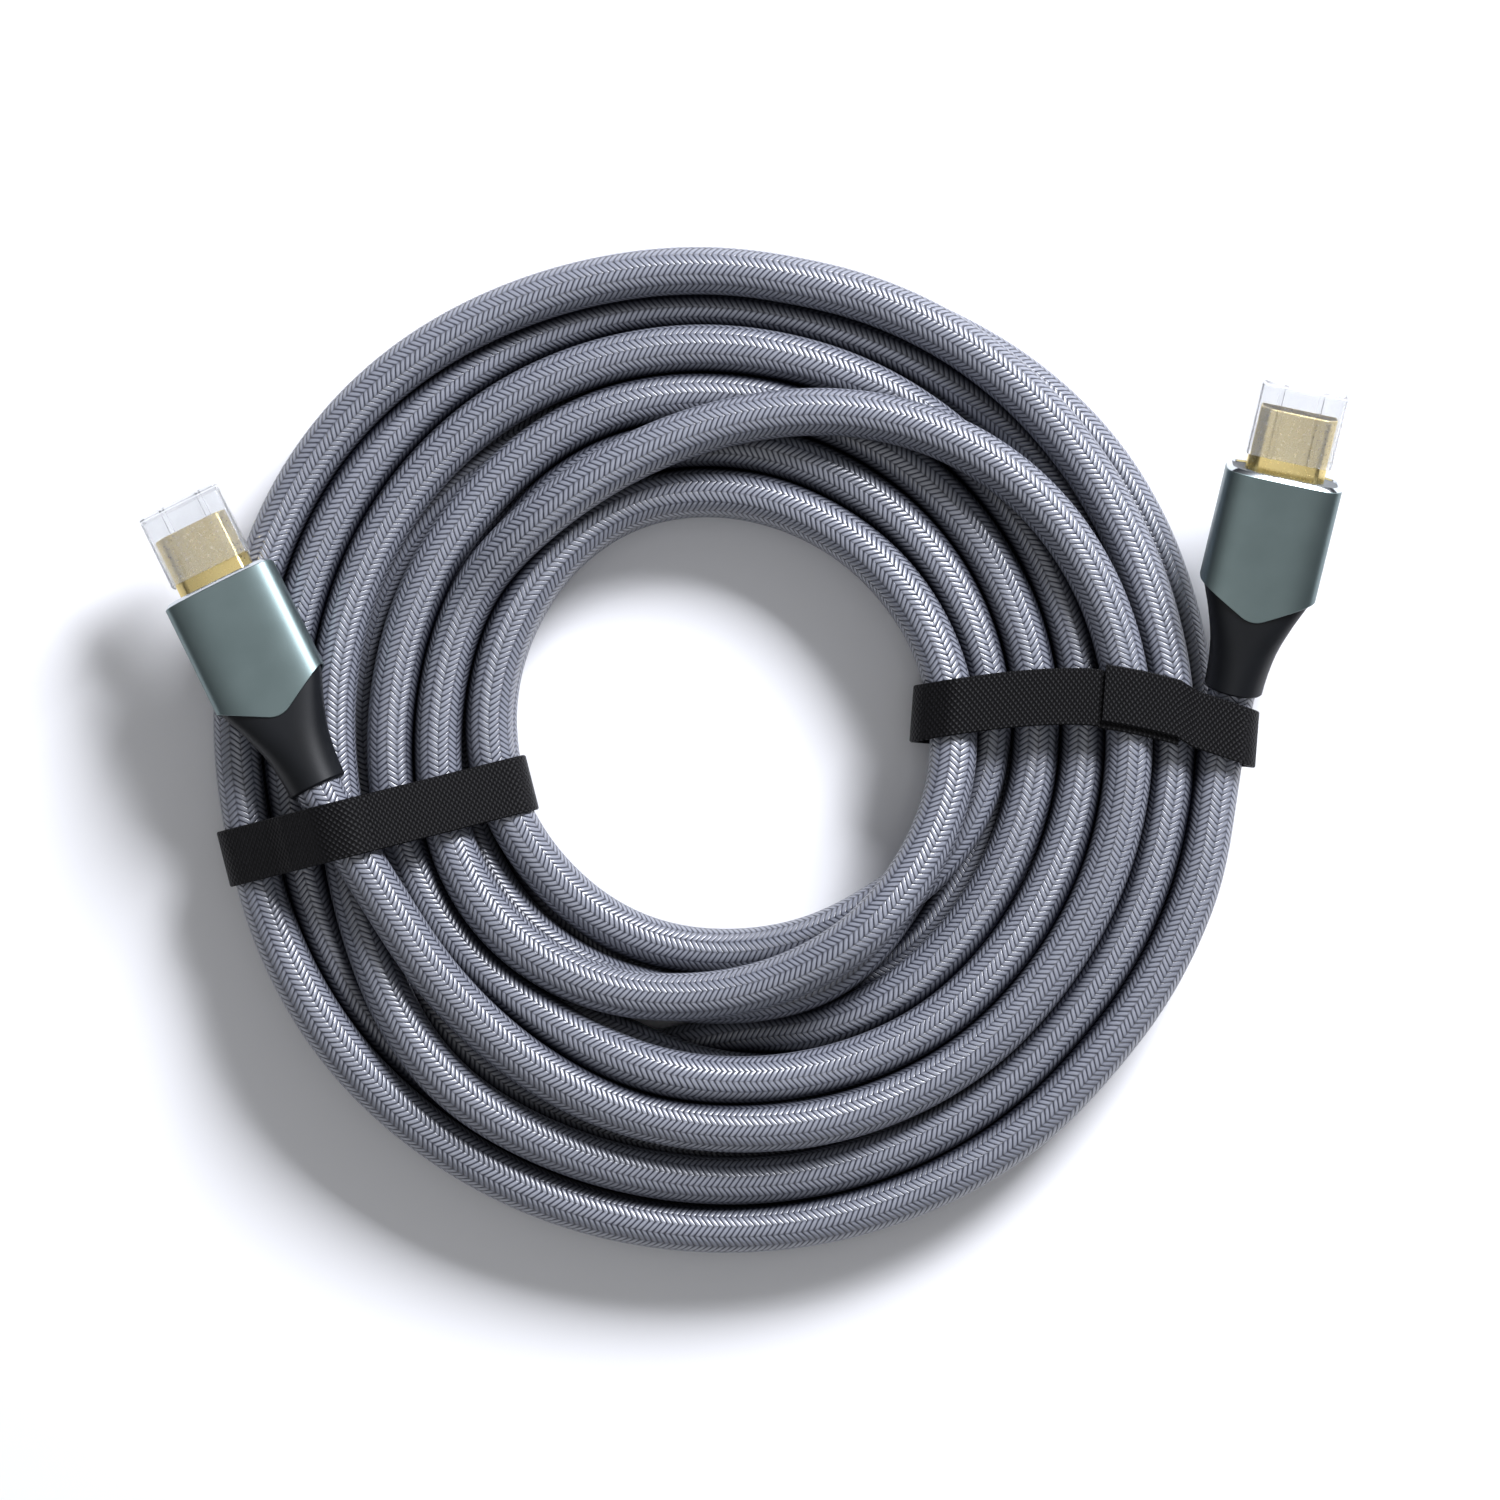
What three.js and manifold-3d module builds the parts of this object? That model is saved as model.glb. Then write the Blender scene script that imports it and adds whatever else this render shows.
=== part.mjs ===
import * as THREE from "three";
import { mergeVertices } from "three/addons/utils/BufferGeometryUtils.js";
import Module from "manifold-3d";

// A long braided video cable, coiled flat and held by two hook-and-loop ties, with a plug and a
// clear dust cap at each end. Millimetres, +Z up. The coil lies on the floor, and the origin is
// under the middle of the whole cable.

// Room between pieces that touch, and between a dust cap and the plug tip in it.
const CLEARANCE = 0.3;
const CAP_FIT = 0.2;

// The cord and its coil: two layers of turns, the upper ones lying in the valleys of the lower.
const CORD_DIAMETER = 8.4;
const CORD_SIDES = 10;
const BORE_RADIUS = 37;
const LOWER_TURNS = 6;
const COIL_SEGMENTS = 48;

// The last turn before the left plug lies on top: degrees round the coil, radius and drop from
// the height of the left boot. The drop is a share of the way down to the turns below.
const TOP_TURN_ROUTE = [
  [200, 65.6, 0.45],
  [214, 64.3, 0.9],
  [240, 64.2, 1],
  [265, 66.8, 1],
  [290, 70.4, 1],
  [315, 72.8, 1],
  [345, 73, 1],
  [372, 72.3, 1],
  [396, 69.4, 1],
  [415, 65.2, 1],
  [430, 60.2, 1],
  [446, 55.2, 1],
  [462, 51.6, 1],
  [480, 49.4, 1],
  [503, 48.4, 1],
  [525, 49.1, 1],
  [545, 50.6, 1],
  [562, 52, 1],
  [585, 51.8, 1],
  [605, 49.4, 1],
  [622, 46.4, 1],
  [640, 44.6, 1],
];
const TOP_TURN_STEPS = 28;

// The last turn before the right plug lies on the coil's outer shoulder: degrees round the coil
// and how far out it has swung from the shoulder.
const LEAD_ROUTE = [
  [250, 0],
  [256, 0],
  [268, 0],
  [281, 0],
  [294, 0],
  [307, 0],
  [320, 0],
  [333, 0],
  [344, 0],
  [352, 0.3],
];
const LEAD_STEPS = 16;
const LEAD_SEAT = 0.6;

// Plug housing, from its front face back. The rear edge comes to a rounded point on both faces.
const SHELL_WIDTH = 20.6;
const SHELL_THICKNESS = 10.4;
const SHELL_SIDE_LENGTH = 21;
const SHELL_CENTRE_LENGTH = 26.2;
const SHELL_POINT_ROUND = 4.4;
const SHELL_RIM = 0.6;
const SHELL_SQUARENESS = 4.2;
const PLUG_LENGTH = 40;
const BOOT_END_DIAMETER = 10.4;
const SECTION_SIDES = 36;

// Share of the way along the boot, and share of its whole narrowing at that place.
const BOOT_WAIST = [
  [0, 0],
  [0.1, 0.1],
  [0.25, 0.36],
  [0.42, 0.62],
  [0.6, 0.84],
  [0.8, 0.96],
  [1, 1],
];

// Metal tip, the black insert that carries the contacts, and the dust cap.
const TIP_WIDTH = 13.9;
const TIP_HEIGHT = 4.45;
const TIP_LENGTH = 10.8;
const TIP_WALL = 0.35;
const TIP_BEVEL = 1.7;
const INSERT_RECESS = 1;
const SLOT_WIDTH = 10.6;
const SLOT_HEIGHT = 1.3;
const CAP_WALL = 0.35;
const CAP_END_WALL = 0.8;
const CAP_LENGTH = 13.3;
const CAP_STANDOFF = 2.6;
const CAP_CORNER = 0.9;
const CAP_RIB_WIDTH = 1;
const CAP_RIB_HEIGHT = 0.25;
const CAP_RIB_SPACING = 7;

// Where each plug lies about the coil's axis: the middle of its boot's end, its heading in
// degrees from +X, and how far its nose points up.
const LEFT_PLUG = { x: -69.6, y: -9.2, rise: 7.2, heading: 116.4, pitch: -3 };
const RIGHT_PLUG = { x: 91.1, y: 8.1, rise: -2.2, heading: 78.1, pitch: 17 };

// Ties: width, thickness, the length of the lap as a share of the way across the coil, and the
// line that each follows in plan. A bend shifts the middle of the top to one side.
const TIE_WIDTH = 10;
const TIE_THICKNESS = 1;
const LEFT_TIE = { angle: 194.2, offset: 0, bend: 0, lap: [0.3, 0.62] };
const RIGHT_TIE = { angle: -4.3, offset: 6.3, bend: 6.6, lap: [0.3, 0.62] };

const BRAID = { color: 0x7d8292, roughness: 0.7, metalness: 0 };
const ANODISED = { color: 0x5f6f70, roughness: 0.35, metalness: 0.9 };
const BOOT_BLACK = { color: 0x1b1d22, roughness: 0.6, metalness: 0 };
const GILT = { color: 0xc8ac62, roughness: 0.3, metalness: 1 };
const INSERT_BLACK = { color: 0x121316, roughness: 0.5, metalness: 0 };
const CLEAR = { color: 0xe9edf0, roughness: 0.15, metalness: 0, transparent: true, opacity: 0.4 };
const TIE_BLACK = { color: 0x17161a, roughness: 0.9, metalness: 0 };

const cordRadius = CORD_DIAMETER / 2;
const flatHalf = cordRadius * Math.tan(Math.PI / 8); // half a side of an eight-sided turn
const layerRise = CORD_DIAMETER * Math.sin(Math.PI / 3);
const coilHeight = CORD_DIAMETER + layerRise;
const innerTurn = BORE_RADIUS + cordRadius;
const outerTurn = innerTurn + (LOWER_TURNS - 1) * CORD_DIAMETER;
const topTurnHeight = coilHeight + CLEARANCE + cordRadius;
const leadRadius = outerTurn + cordRadius + LEAD_SEAT;
const leadHeight = cordRadius + layerRise + LEAD_SEAT;
const notchHeight = TIE_THICKNESS + CLEARANCE;
const radians = THREE.MathUtils.degToRad;

const wasm = await Module();
wasm.setup();

function solidOf(geometry) {
  const bare = geometry.clone();
  bare.deleteAttribute("normal");
  bare.deleteAttribute("uv");
  const merged = mergeVertices(bare, 1e-4);
  const mesh = new wasm.Mesh({
    numProp: 3,
    vertProperties: Float32Array.from(merged.attributes.position.array),
    triVerts: Uint32Array.from(merged.index.array),
  });
  return new wasm.Manifold(mesh);
}

function geometryOf(solid) {
  const mesh = solid.getMesh();
  const geometry = new THREE.BufferGeometry();
  geometry.setAttribute("position", new THREE.BufferAttribute(mesh.vertProperties, 3));
  geometry.setIndex(new THREE.BufferAttribute(mesh.triVerts, 1));
  geometry.computeVertexNormals();
  return geometry;
}

function piece(name, geometry, finish) {
  const mesh = new THREE.Mesh(geometry, new THREE.MeshStandardMaterial(finish));
  mesh.name = name;
  return mesh;
}

/** A straight extrusion of a shape from z = from to z = to. */
function bar(shape, from, to) {
  const options = { depth: to - from, bevelEnabled: false, curveSegments: 6 };
  return new THREE.ExtrudeGeometry(shape, options).translate(0, 0, from);
}

function circlePoints(radius, sides) {
  const turn = (2 * Math.PI) / sides;
  return Array.from({ length: sides }, (_, i) => {
    return new THREE.Vector2(radius * Math.cos(i * turn), radius * Math.sin(i * turn));
  });
}

/** The coil's half section, once round: flats under the turns, valleys between them. */
function coilSection() {
  const outline = [];
  const add = (x, y) => outline.push(new THREE.Vector2(x, y));
  const side = cordRadius - flatHalf;
  const upper = cordRadius + layerRise;
  for (let i = 0; i < LOWER_TURNS; i += 1) {
    const centre = innerTurn + i * CORD_DIAMETER;
    add(centre - flatHalf, 0);
    add(centre + flatHalf, 0);
    add(centre + cordRadius, side);
  }
  const seat = upper - flatHalf - CORD_DIAMETER;
  add(outerTurn + cordRadius, cordRadius + flatHalf);
  add(outerTurn + flatHalf, CORD_DIAMETER);
  add(outerTurn - seat, CORD_DIAMETER);
  add(outerTurn, upper - flatHalf);
  for (let i = LOWER_TURNS - 2; i >= 0; i -= 1) {
    const centre = innerTurn + (i + 0.5) * CORD_DIAMETER;
    add(centre + cordRadius, upper + flatHalf);
    add(centre + flatHalf, coilHeight);
    add(centre - flatHalf, coilHeight);
  }
  add(innerTurn, upper + flatHalf);
  add(innerTurn, upper - flatHalf);
  add(innerTurn + seat, CORD_DIAMETER);
  add(innerTurn - flatHalf, CORD_DIAMETER);
  add(innerTurn - cordRadius, cordRadius + flatHalf);
  add(innerTurn - cordRadius, side);
  return outline;
}

function tube(route, steps) {
  const path = new THREE.CatmullRomCurve3(route, false, "centripetal");
  const section = new THREE.Shape(circlePoints(cordRadius, CORD_SIDES));
  const options = { steps, extrudePath: path, bevelEnabled: false };
  const centres = path.getSpacedPoints(steps);
  return { centres, geometry: new THREE.ExtrudeGeometry(section, options) };
}

/** Unit vector along a plug, from its boot to its nose. */
function noseOf(plug) {
  const flat = Math.cos(radians(plug.pitch));
  const heading = radians(plug.heading);
  const up = Math.sin(radians(plug.pitch));
  return new THREE.Vector3(flat * Math.cos(heading), flat * Math.sin(heading), up);
}

function bootEndOf(plug) {
  return new THREE.Vector3(plug.x, plug.y, coilHeight + plug.rise);
}

/** Points on the cord's centre line just behind a boot, in line with the plug. */
function leadOut(plug, distances) {
  return distances.map((distance) => {
    return bootEndOf(plug).addScaledVector(noseOf(plug), -distance);
  });
}

function topTurnRoute() {
  const start = leadOut(LEFT_PLUG, [CLEARANCE, 0.7 * CORD_DIAMETER]);
  const from = start[1].z;
  const rest = TOP_TURN_ROUTE.map(([degrees, radius, drop]) => {
    const angle = radians(degrees);
    const height = from + (topTurnHeight - from) * drop;
    return new THREE.Vector3(radius * Math.cos(angle), radius * Math.sin(angle), height);
  });
  return [...start, ...rest];
}

function rightLeadRoute() {
  const rest = LEAD_ROUTE.map(([degrees, swing]) => {
    const angle = radians(degrees);
    const radius = leadRadius + swing;
    return new THREE.Vector3(radius * Math.cos(angle), radius * Math.sin(angle), leadHeight);
  });
  return [...rest, ...leadOut(RIGHT_PLUG, [0.9 * CORD_DIAMETER, CLEARANCE])];
}

/** The corners of the smallest outline with no hollow round the points. */
function hull(points) {
  const sorted = [...points].sort((a, b) => a.x - b.x || a.y - b.y);
  const half = (list) => {
    const chain = [];
    for (const p of list) {
      while (chain.length > 1) {
        const [a, b] = chain.slice(-2);
        if ((b.x - a.x) * (p.y - a.y) - (b.y - a.y) * (p.x - a.x) > 1e-3) break;
        chain.pop();
      }
      chain.push(p);
    }
    return chain.slice(0, -1);
  };
  return [...half(sorted), ...half(sorted.reverse())];
}

function grown(outline, by) {
  const round = circlePoints(by, 16);
  return hull(outline.flatMap((p) => round.map((r) => p.clone().add(r))));
}

/** What a tie has to go round, seen along the tie: distance from the coil's axis and height. */
function bundleUnder(tie, section, cords) {
  const angle = radians(tie.angle);
  const along = new THREE.Vector3(Math.cos(angle), Math.sin(angle), 0);
  const across = new THREE.Vector3(-along.y, along.x, 0);
  const half = TIE_WIDTH / 2;
  const points = [];
  for (const shift of [-half, 0, half]) {
    const aside = tie.offset + shift;
    section.forEach((a, i) => {
      const b = section[(i + 1) % section.length];
      const [low, high] = a.y < b.y ? [a, b] : [b, a];
      if (high.y < notchHeight) return;
      const cut = Math.max((notchHeight - low.y) / (high.y - low.y || 1), 0);
      for (const p of [low.clone().lerp(high, cut), high]) {
        points.push(new THREE.Vector2(Math.sqrt(p.x * p.x - aside * aside), p.y));
      }
    });
  }
  const ring = circlePoints(cordRadius, 16);
  const reach = half + Math.abs(tie.bend);
  const samples = 16;
  for (const centres of cords) {
    for (let i = 0; i < samples * (centres.length - 1); i += 1) {
      const [from, to] = centres.slice(Math.floor(i / samples), Math.floor(i / samples) + 2);
      const level = to.clone().sub(from).setZ(0).normalize();
      const side = new THREE.Vector3(level.y, -level.x, 0);
      for (const p of ring) {
        const at = from.clone().lerp(to, (i % samples) / samples).addScaledVector(side, p.x);
        const aside = Math.abs(at.dot(across) - tie.offset);
        if (at.dot(along) < 0 || aside > reach) continue;
        points.push(new THREE.Vector2(at.dot(along), at.z + p.y));
      }
    }
  }
  return hull(points);
}

/** Height of an outline's top at x. */
function topAt(outline, x) {
  let best = -Infinity;
  outline.forEach((a, i) => {
    const b = outline[(i + 1) % outline.length];
    if ((a.x - x) * (b.x - x) > 0 || a.x === b.x) return;
    best = Math.max(best, a.y + ((b.y - a.y) * (x - a.x)) / (b.x - a.x));
  });
  return best;
}

/** A closed band round the coil, twice as thick on top where its end laps over. */
function tieGeometry(tie, section, cords) {
  const bundle = bundleUnder(tie, section, cords);
  const inside = grown(bundle, CLEARANCE);
  const outside = grown(bundle, CLEARANCE + TIE_THICKNESS);
  const lapped = grown(bundle, CLEARANCE + 2 * TIE_THICKNESS);
  const low = Math.min(...outside.map((p) => p.x));
  const wide = Math.max(...outside.map((p) => p.x)) - low;
  const [lapStart, lapEnd] = tie.lap.map((share) => low + share * wide);
  const onLap = (p) => p.y > coilHeight && p.x > lapStart && p.x < lapEnd;
  const step = (x, lines) => lines.map((line) => new THREE.Vector2(x, topAt(line, x)));
  const lap = [
    ...step(lapEnd, [outside, lapped]),
    ...lapped.filter(onLap).sort((a, b) => b.x - a.x),
    ...step(lapStart, [lapped, outside]),
  ];
  const rest = outside.filter((p) => !onLap(p));
  const after = rest.findLastIndex((p) => p.x >= lapEnd) + 1;
  const outline = [...rest.slice(0, after), ...lap, ...rest.slice(after)];
  const shape = new THREE.Shape(outline);
  shape.holes.push(new THREE.Path([...inside].reverse()));
  const geometry = bar(shape, -TIE_WIDTH / 2, TIE_WIDTH / 2).rotateX(Math.PI / 2);
  const at = geometry.attributes.position;
  const middle = low + wide / 2;
  for (let i = 0; i < at.count; i += 1) {
    const share = 1 - Math.abs(at.getX(i) - middle) / (wide / 2 - cordRadius);
    const bent = at.getZ(i) > layerRise ? tie.bend * Math.max(share, 0) : 0;
    at.setY(i, at.getY(i) + tie.offset + bent);
  }
  return geometry.rotateZ(radians(tie.angle));
}

/** A box under the coil that leaves room for a tie. */
function notch(tie) {
  const long = outerTurn + CORD_DIAMETER;
  const box = new THREE.BoxGeometry(long, TIE_WIDTH + 2 * CLEARANCE, 2 * notchHeight);
  return box.translate(long / 2, tie.offset, 0).rotateZ(radians(tie.angle));
}

/** A body along +Z whose rounded section changes from station to station. */
function tapered(stations) {
  const steps = stations.length - 1;
  const shape = new THREE.Shape(circlePoints(1, SECTION_SIDES));
  const geometry = new THREE.ExtrudeGeometry(shape, { steps, depth: steps, bevelEnabled: false });
  const at = geometry.attributes.position;
  const bulge = (share, power) => Math.sign(share) * Math.abs(share) ** (2 / power);
  for (let i = 0; i < at.count; i += 1) {
    const { z, width, height, power } = stations[Math.round(at.getZ(i))];
    const x = (bulge(at.getX(i), power) * width) / 2;
    const y = (bulge(at.getY(i), power) * height) / 2;
    at.setXYZ(i, x, y, z);
  }
  return geometry;
}

/** Everything in front of the housing's pointed rear edge, moved back by a shift. */
function aheadOfPoint(shift) {
  const half = SHELL_WIDTH / 2;
  const round = SHELL_POINT_ROUND / 2;
  const slope = (SHELL_CENTRE_LENGTH - SHELL_SIDE_LENGTH) / (half - round / 2);
  const back = SHELL_SIDE_LENGTH + shift * Math.hypot(1, slope);
  const edge = (x) => back + slope * (half - x);
  const plan = new THREE.Shape();
  plan.moveTo(-SHELL_WIDTH, -SHELL_WIDTH);
  plan.lineTo(SHELL_WIDTH, -SHELL_WIDTH);
  plan.lineTo(SHELL_WIDTH, edge(SHELL_WIDTH));
  plan.lineTo(round, edge(round));
  plan.quadraticCurveTo(0, edge(0), -round, edge(round));
  plan.lineTo(-SHELL_WIDTH, edge(SHELL_WIDTH));
  return bar(plan, -SHELL_THICKNESS, SHELL_THICKNESS).rotateX(Math.PI / 2);
}

function shellGeometry() {
  const full = { width: SHELL_WIDTH, height: SHELL_THICKNESS, power: SHELL_SQUARENESS };
  const rim = { width: SHELL_WIDTH - 2 * SHELL_RIM, height: SHELL_THICKNESS - 2 * SHELL_RIM };
  const body = tapered([
    { ...full, ...rim, z: 0 },
    { ...full, z: SHELL_RIM },
    { ...full, z: SHELL_CENTRE_LENGTH + SHELL_RIM },
  ]);
  return geometryOf(solidOf(body).intersect(solidOf(aheadOfPoint(0))));
}

function bootGeometry() {
  const from = SHELL_SIDE_LENGTH;
  const widths = [SHELL_WIDTH - CLEARANCE, BOOT_END_DIAMETER];
  const heights = [SHELL_THICKNESS - CLEARANCE, BOOT_END_DIAMETER];
  const between = ([a, b], share) => a + (b - a) * share;
  const stations = BOOT_WAIST.map(([along, narrowed]) => ({
    z: between([from, PLUG_LENGTH], along),
    width: between(widths, narrowed),
    height: between(heights, narrowed),
    power: between([SHELL_SQUARENESS, 2], narrowed),
  }));
  return geometryOf(solidOf(tapered(stations)).subtract(solidOf(aheadOfPoint(CLEARANCE))));
}

/** The tip's outline, inset all round: square above, bevelled below. */
function tipOutline(inset) {
  const half = TIP_WIDTH / 2 - inset;
  const top = TIP_HEIGHT / 2 - inset;
  const bevel = TIP_BEVEL - 0.4 * inset;
  return [
    new THREE.Vector2(half, top),
    new THREE.Vector2(-half, top),
    new THREE.Vector2(-half, -top + bevel),
    new THREE.Vector2(-half + bevel, -top),
    new THREE.Vector2(half - bevel, -top),
    new THREE.Vector2(half, -top + bevel),
  ];
}

function tipGeometry() {
  const shape = new THREE.Shape(tipOutline(0));
  shape.holes.push(new THREE.Path(tipOutline(TIP_WALL).reverse()));
  return bar(shape, -CLEARANCE - TIP_LENGTH, -CLEARANCE);
}

function insertGeometry() {
  const shape = new THREE.Shape(tipOutline(TIP_WALL + CLEARANCE));
  const [x, y] = [SLOT_WIDTH / 2, SLOT_HEIGHT / 2];
  const slot = [[-x, -y], [-x, y], [x, y], [x, -y]].map(([a, b]) => new THREE.Vector2(a, b));
  shape.holes.push(new THREE.Path(slot));
  return bar(shape, -CLEARANCE - TIP_LENGTH + INSERT_RECESS, -CLEARANCE);
}

/** A rounded rectangle, with two ribs above and two below where ribs are asked for. */
function capOutline(width, height, corner, ribbed) {
  const [x, y] = [width / 2, height / 2];
  const shape = new THREE.Shape();
  const rib = (middle, edge, way) => {
    const half = CAP_RIB_WIDTH / 2;
    shape.lineTo(middle - way * half, edge);
    shape.lineTo(middle - way * half, edge + Math.sign(edge) * CAP_RIB_HEIGHT);
    shape.lineTo(middle + way * half, edge + Math.sign(edge) * CAP_RIB_HEIGHT);
    shape.lineTo(middle + way * half, edge);
  };
  shape.moveTo(-x + corner, -y);
  if (ribbed) [-1, 1].forEach((side) => rib((side * CAP_RIB_SPACING) / 2, -y, 1));
  shape.lineTo(x - corner, -y);
  shape.quadraticCurveTo(x, -y, x, -y + corner);
  shape.lineTo(x, y - corner);
  shape.quadraticCurveTo(x, y, x - corner, y);
  if (ribbed) [1, -1].forEach((side) => rib((side * CAP_RIB_SPACING) / 2, y, -1));
  shape.lineTo(-x + corner, y);
  shape.quadraticCurveTo(-x, y, -x, y - corner);
  shape.lineTo(-x, -y + corner);
  shape.quadraticCurveTo(-x, -y, -x + corner, -y);
  return shape;
}

function capGeometry() {
  const rim = -CAP_STANDOFF;
  const nose = rim - CAP_LENGTH;
  const [width, height] = [TIP_WIDTH + 2 * CAP_FIT, TIP_HEIGHT + 2 * CAP_FIT];
  const wall = 2 * CAP_WALL;
  const outer = bar(capOutline(width + wall, height + wall, CAP_CORNER, true), nose, rim);
  const inner = capOutline(width, height, CAP_FIT, false);
  const hollow = bar(inner, nose + CAP_END_WALL, rim + CAP_LENGTH);
  return geometryOf(solidOf(outer).subtract(solidOf(hollow)));
}

/** One end of the cable. Its own +Z runs from the front face of the housing to the boot. */
function plugGroup(side, plug) {
  const group = new THREE.Group();
  const back = noseOf(plug).negate();
  const wide = new THREE.Vector3(-back.y, back.x, 0).normalize().negate();
  const thick = new THREE.Vector3().crossVectors(back, wide);
  const turn = new THREE.Matrix4().makeBasis(wide, thick, back);
  group.quaternion.setFromRotationMatrix(turn);
  group.position.copy(bootEndOf(plug)).addScaledVector(back, -PLUG_LENGTH);
  group.add(
    piece(`${side}_shell`, shellGeometry(), ANODISED),
    piece(`${side}_boot`, bootGeometry(), BOOT_BLACK),
    piece(`${side}_plug_tip`, tipGeometry(), GILT),
    piece(`${side}_contact_insert`, insertGeometry(), INSERT_BLACK),
    piece(`${side}_dust_cap`, capGeometry(), CLEAR),
  );
  return group;
}

const section = coilSection();
const turned = new THREE.LatheGeometry([...section, section[0].clone()], COIL_SEGMENTS);
let coil = solidOf(turned.rotateX(Math.PI / 2));
for (const tie of [LEFT_TIE, RIGHT_TIE]) coil = coil.subtract(solidOf(notch(tie)));

const topTurn = tube(topTurnRoute(), TOP_TURN_STEPS);
const rightLead = tube(rightLeadRoute(), LEAD_STEPS);
const cords = [topTurn.centres, rightLead.centres];

const body = new THREE.Group();
body.add(
  piece("cable_coil", geometryOf(coil), BRAID),
  piece("cable_top_turn", topTurn.geometry, BRAID),
  piece("cable_right_lead", rightLead.geometry, BRAID),
  piece("left_tie", tieGeometry(LEFT_TIE, section, cords), TIE_BLACK),
  piece("right_tie", tieGeometry(RIGHT_TIE, section, cords), TIE_BLACK),
  plugGroup("left", LEFT_PLUG),
  plugGroup("right", RIGHT_PLUG),
);

// The origin goes under the middle of the whole cable.
body.updateMatrixWorld(true);
const box = new THREE.Box3().setFromObject(body, true);
body.position.set(-(box.min.x + box.max.x) / 2, -(box.min.y + box.max.y) / 2, -box.min.z);

const cable = new THREE.Group();
cable.add(body);

export default cable;
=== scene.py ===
"""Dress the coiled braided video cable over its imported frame: looks, cord, ties and light."""

import logging
import math
from dataclasses import dataclass, field
from enum import Enum
from typing import Any, Optional, Sequence

import bpy
import numpy as np
from mathutils import Matrix, Vector


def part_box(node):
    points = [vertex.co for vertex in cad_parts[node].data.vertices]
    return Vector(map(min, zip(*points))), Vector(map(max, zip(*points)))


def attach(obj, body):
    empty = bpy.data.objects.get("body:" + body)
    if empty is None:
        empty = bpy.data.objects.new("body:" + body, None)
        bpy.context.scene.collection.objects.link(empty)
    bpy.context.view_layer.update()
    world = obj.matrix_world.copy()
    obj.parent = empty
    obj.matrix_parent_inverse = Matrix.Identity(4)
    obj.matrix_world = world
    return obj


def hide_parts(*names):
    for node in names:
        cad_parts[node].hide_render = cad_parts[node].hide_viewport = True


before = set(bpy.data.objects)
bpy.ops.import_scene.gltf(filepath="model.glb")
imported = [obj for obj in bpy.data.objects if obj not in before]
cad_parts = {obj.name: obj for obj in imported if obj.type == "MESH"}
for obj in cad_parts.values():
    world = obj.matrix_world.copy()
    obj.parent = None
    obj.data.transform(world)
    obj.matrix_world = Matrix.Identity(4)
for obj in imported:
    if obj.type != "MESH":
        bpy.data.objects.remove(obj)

LOG = logging.getLogger("cable")
MM = 0.001
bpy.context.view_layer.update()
COIL_LOW, COIL_HIGH = (np.array(corner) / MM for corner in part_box("cable_coil"))
COIL_AXIS = (COIL_LOW[:2] + COIL_HIGH[:2]) / 2

Colour = tuple[float, float, float, float]


class Body(Enum):
    """The bodies of the frame that pieces ride on."""

    CABLE = "cable"
    LEFT_CAP = "left_cap"
    RIGHT_CAP = "right_cap"


class Slot(Enum):
    """The record's finishes."""

    BRAID = "nylon_braid"
    TIE = "hook_and_loop_tape"
    SHELL = "anodised_aluminium"
    BOOT = "soft_pvc_boot"
    TIP = "gilt_steel"
    INSERT = "contact_insert_plastic"
    CAP = "clear_cap_plastic"


def linear(hex_code: str) -> Colour:
    """Turn an sRGB hex value into Blender's linear colour.

    Args:
        hex_code: Six hex digits, with or without a leading hash.

    Returns:
        Linear red, green and blue, and an alpha of 1.
    """
    digits = hex_code.lstrip("#")
    parts = [int(digits[i : i + 2], 16) / 255 for i in (0, 2, 4)]
    straight = [c / 12.92 if c <= 0.04045 else ((c + 0.055) / 1.055) ** 2.4 for c in parts]
    return (straight[0], straight[1], straight[2], 1.0)


def feed(node: bpy.types.Node, inputs: Any) -> None:
    """Give a node's inputs their values and incoming links.

    Args:
        node: The node.
        inputs: Values, output sockets or nodes, in order or by the inputs' name or number. A
            node stands for its first output.
    """
    pairs = inputs.items() if isinstance(inputs, dict) else enumerate(inputs)
    for key, value in pairs:
        source = value.outputs[0] if isinstance(value, bpy.types.Node) else value
        if isinstance(source, bpy.types.NodeSocket):
            node.id_data.links.new(source, node.inputs[key])
        else:
            node.inputs[key].default_value = source


def add_node(
    tree: bpy.types.NodeTree, kind: str, inputs: Any = (), **settings: Any
) -> bpy.types.Node:
    """Add a node with its settings, values and incoming links.

    Args:
        tree: The node tree that gets the node.
        kind: Blender's node type.
        inputs: What its inputs get, as feed takes it.
        **settings: Properties of the node itself.

    Returns:
        The new node.
    """
    node = tree.nodes.new(kind)
    for name, value in settings.items():
        setattr(node, name, value)
    feed(node, inputs)
    return node


def set_stops(ramp: bpy.types.Node, stops: Sequence[tuple[float, str]]) -> None:
    """Give a colour ramp its stops.

    Args:
        ramp: The ramp node.
        stops: Place and sRGB hex value of each stop.
    """
    elements = ramp.color_ramp.elements
    while len(elements) < len(stops):
        elements.new(0.5)
    for element, (place, hex_code) in zip(elements, stops):
        element.position = place
        element.color = linear(hex_code)


MADE: dict["Finish", bpy.types.Material] = {}
MATH = "ShaderNodeMath"


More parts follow.
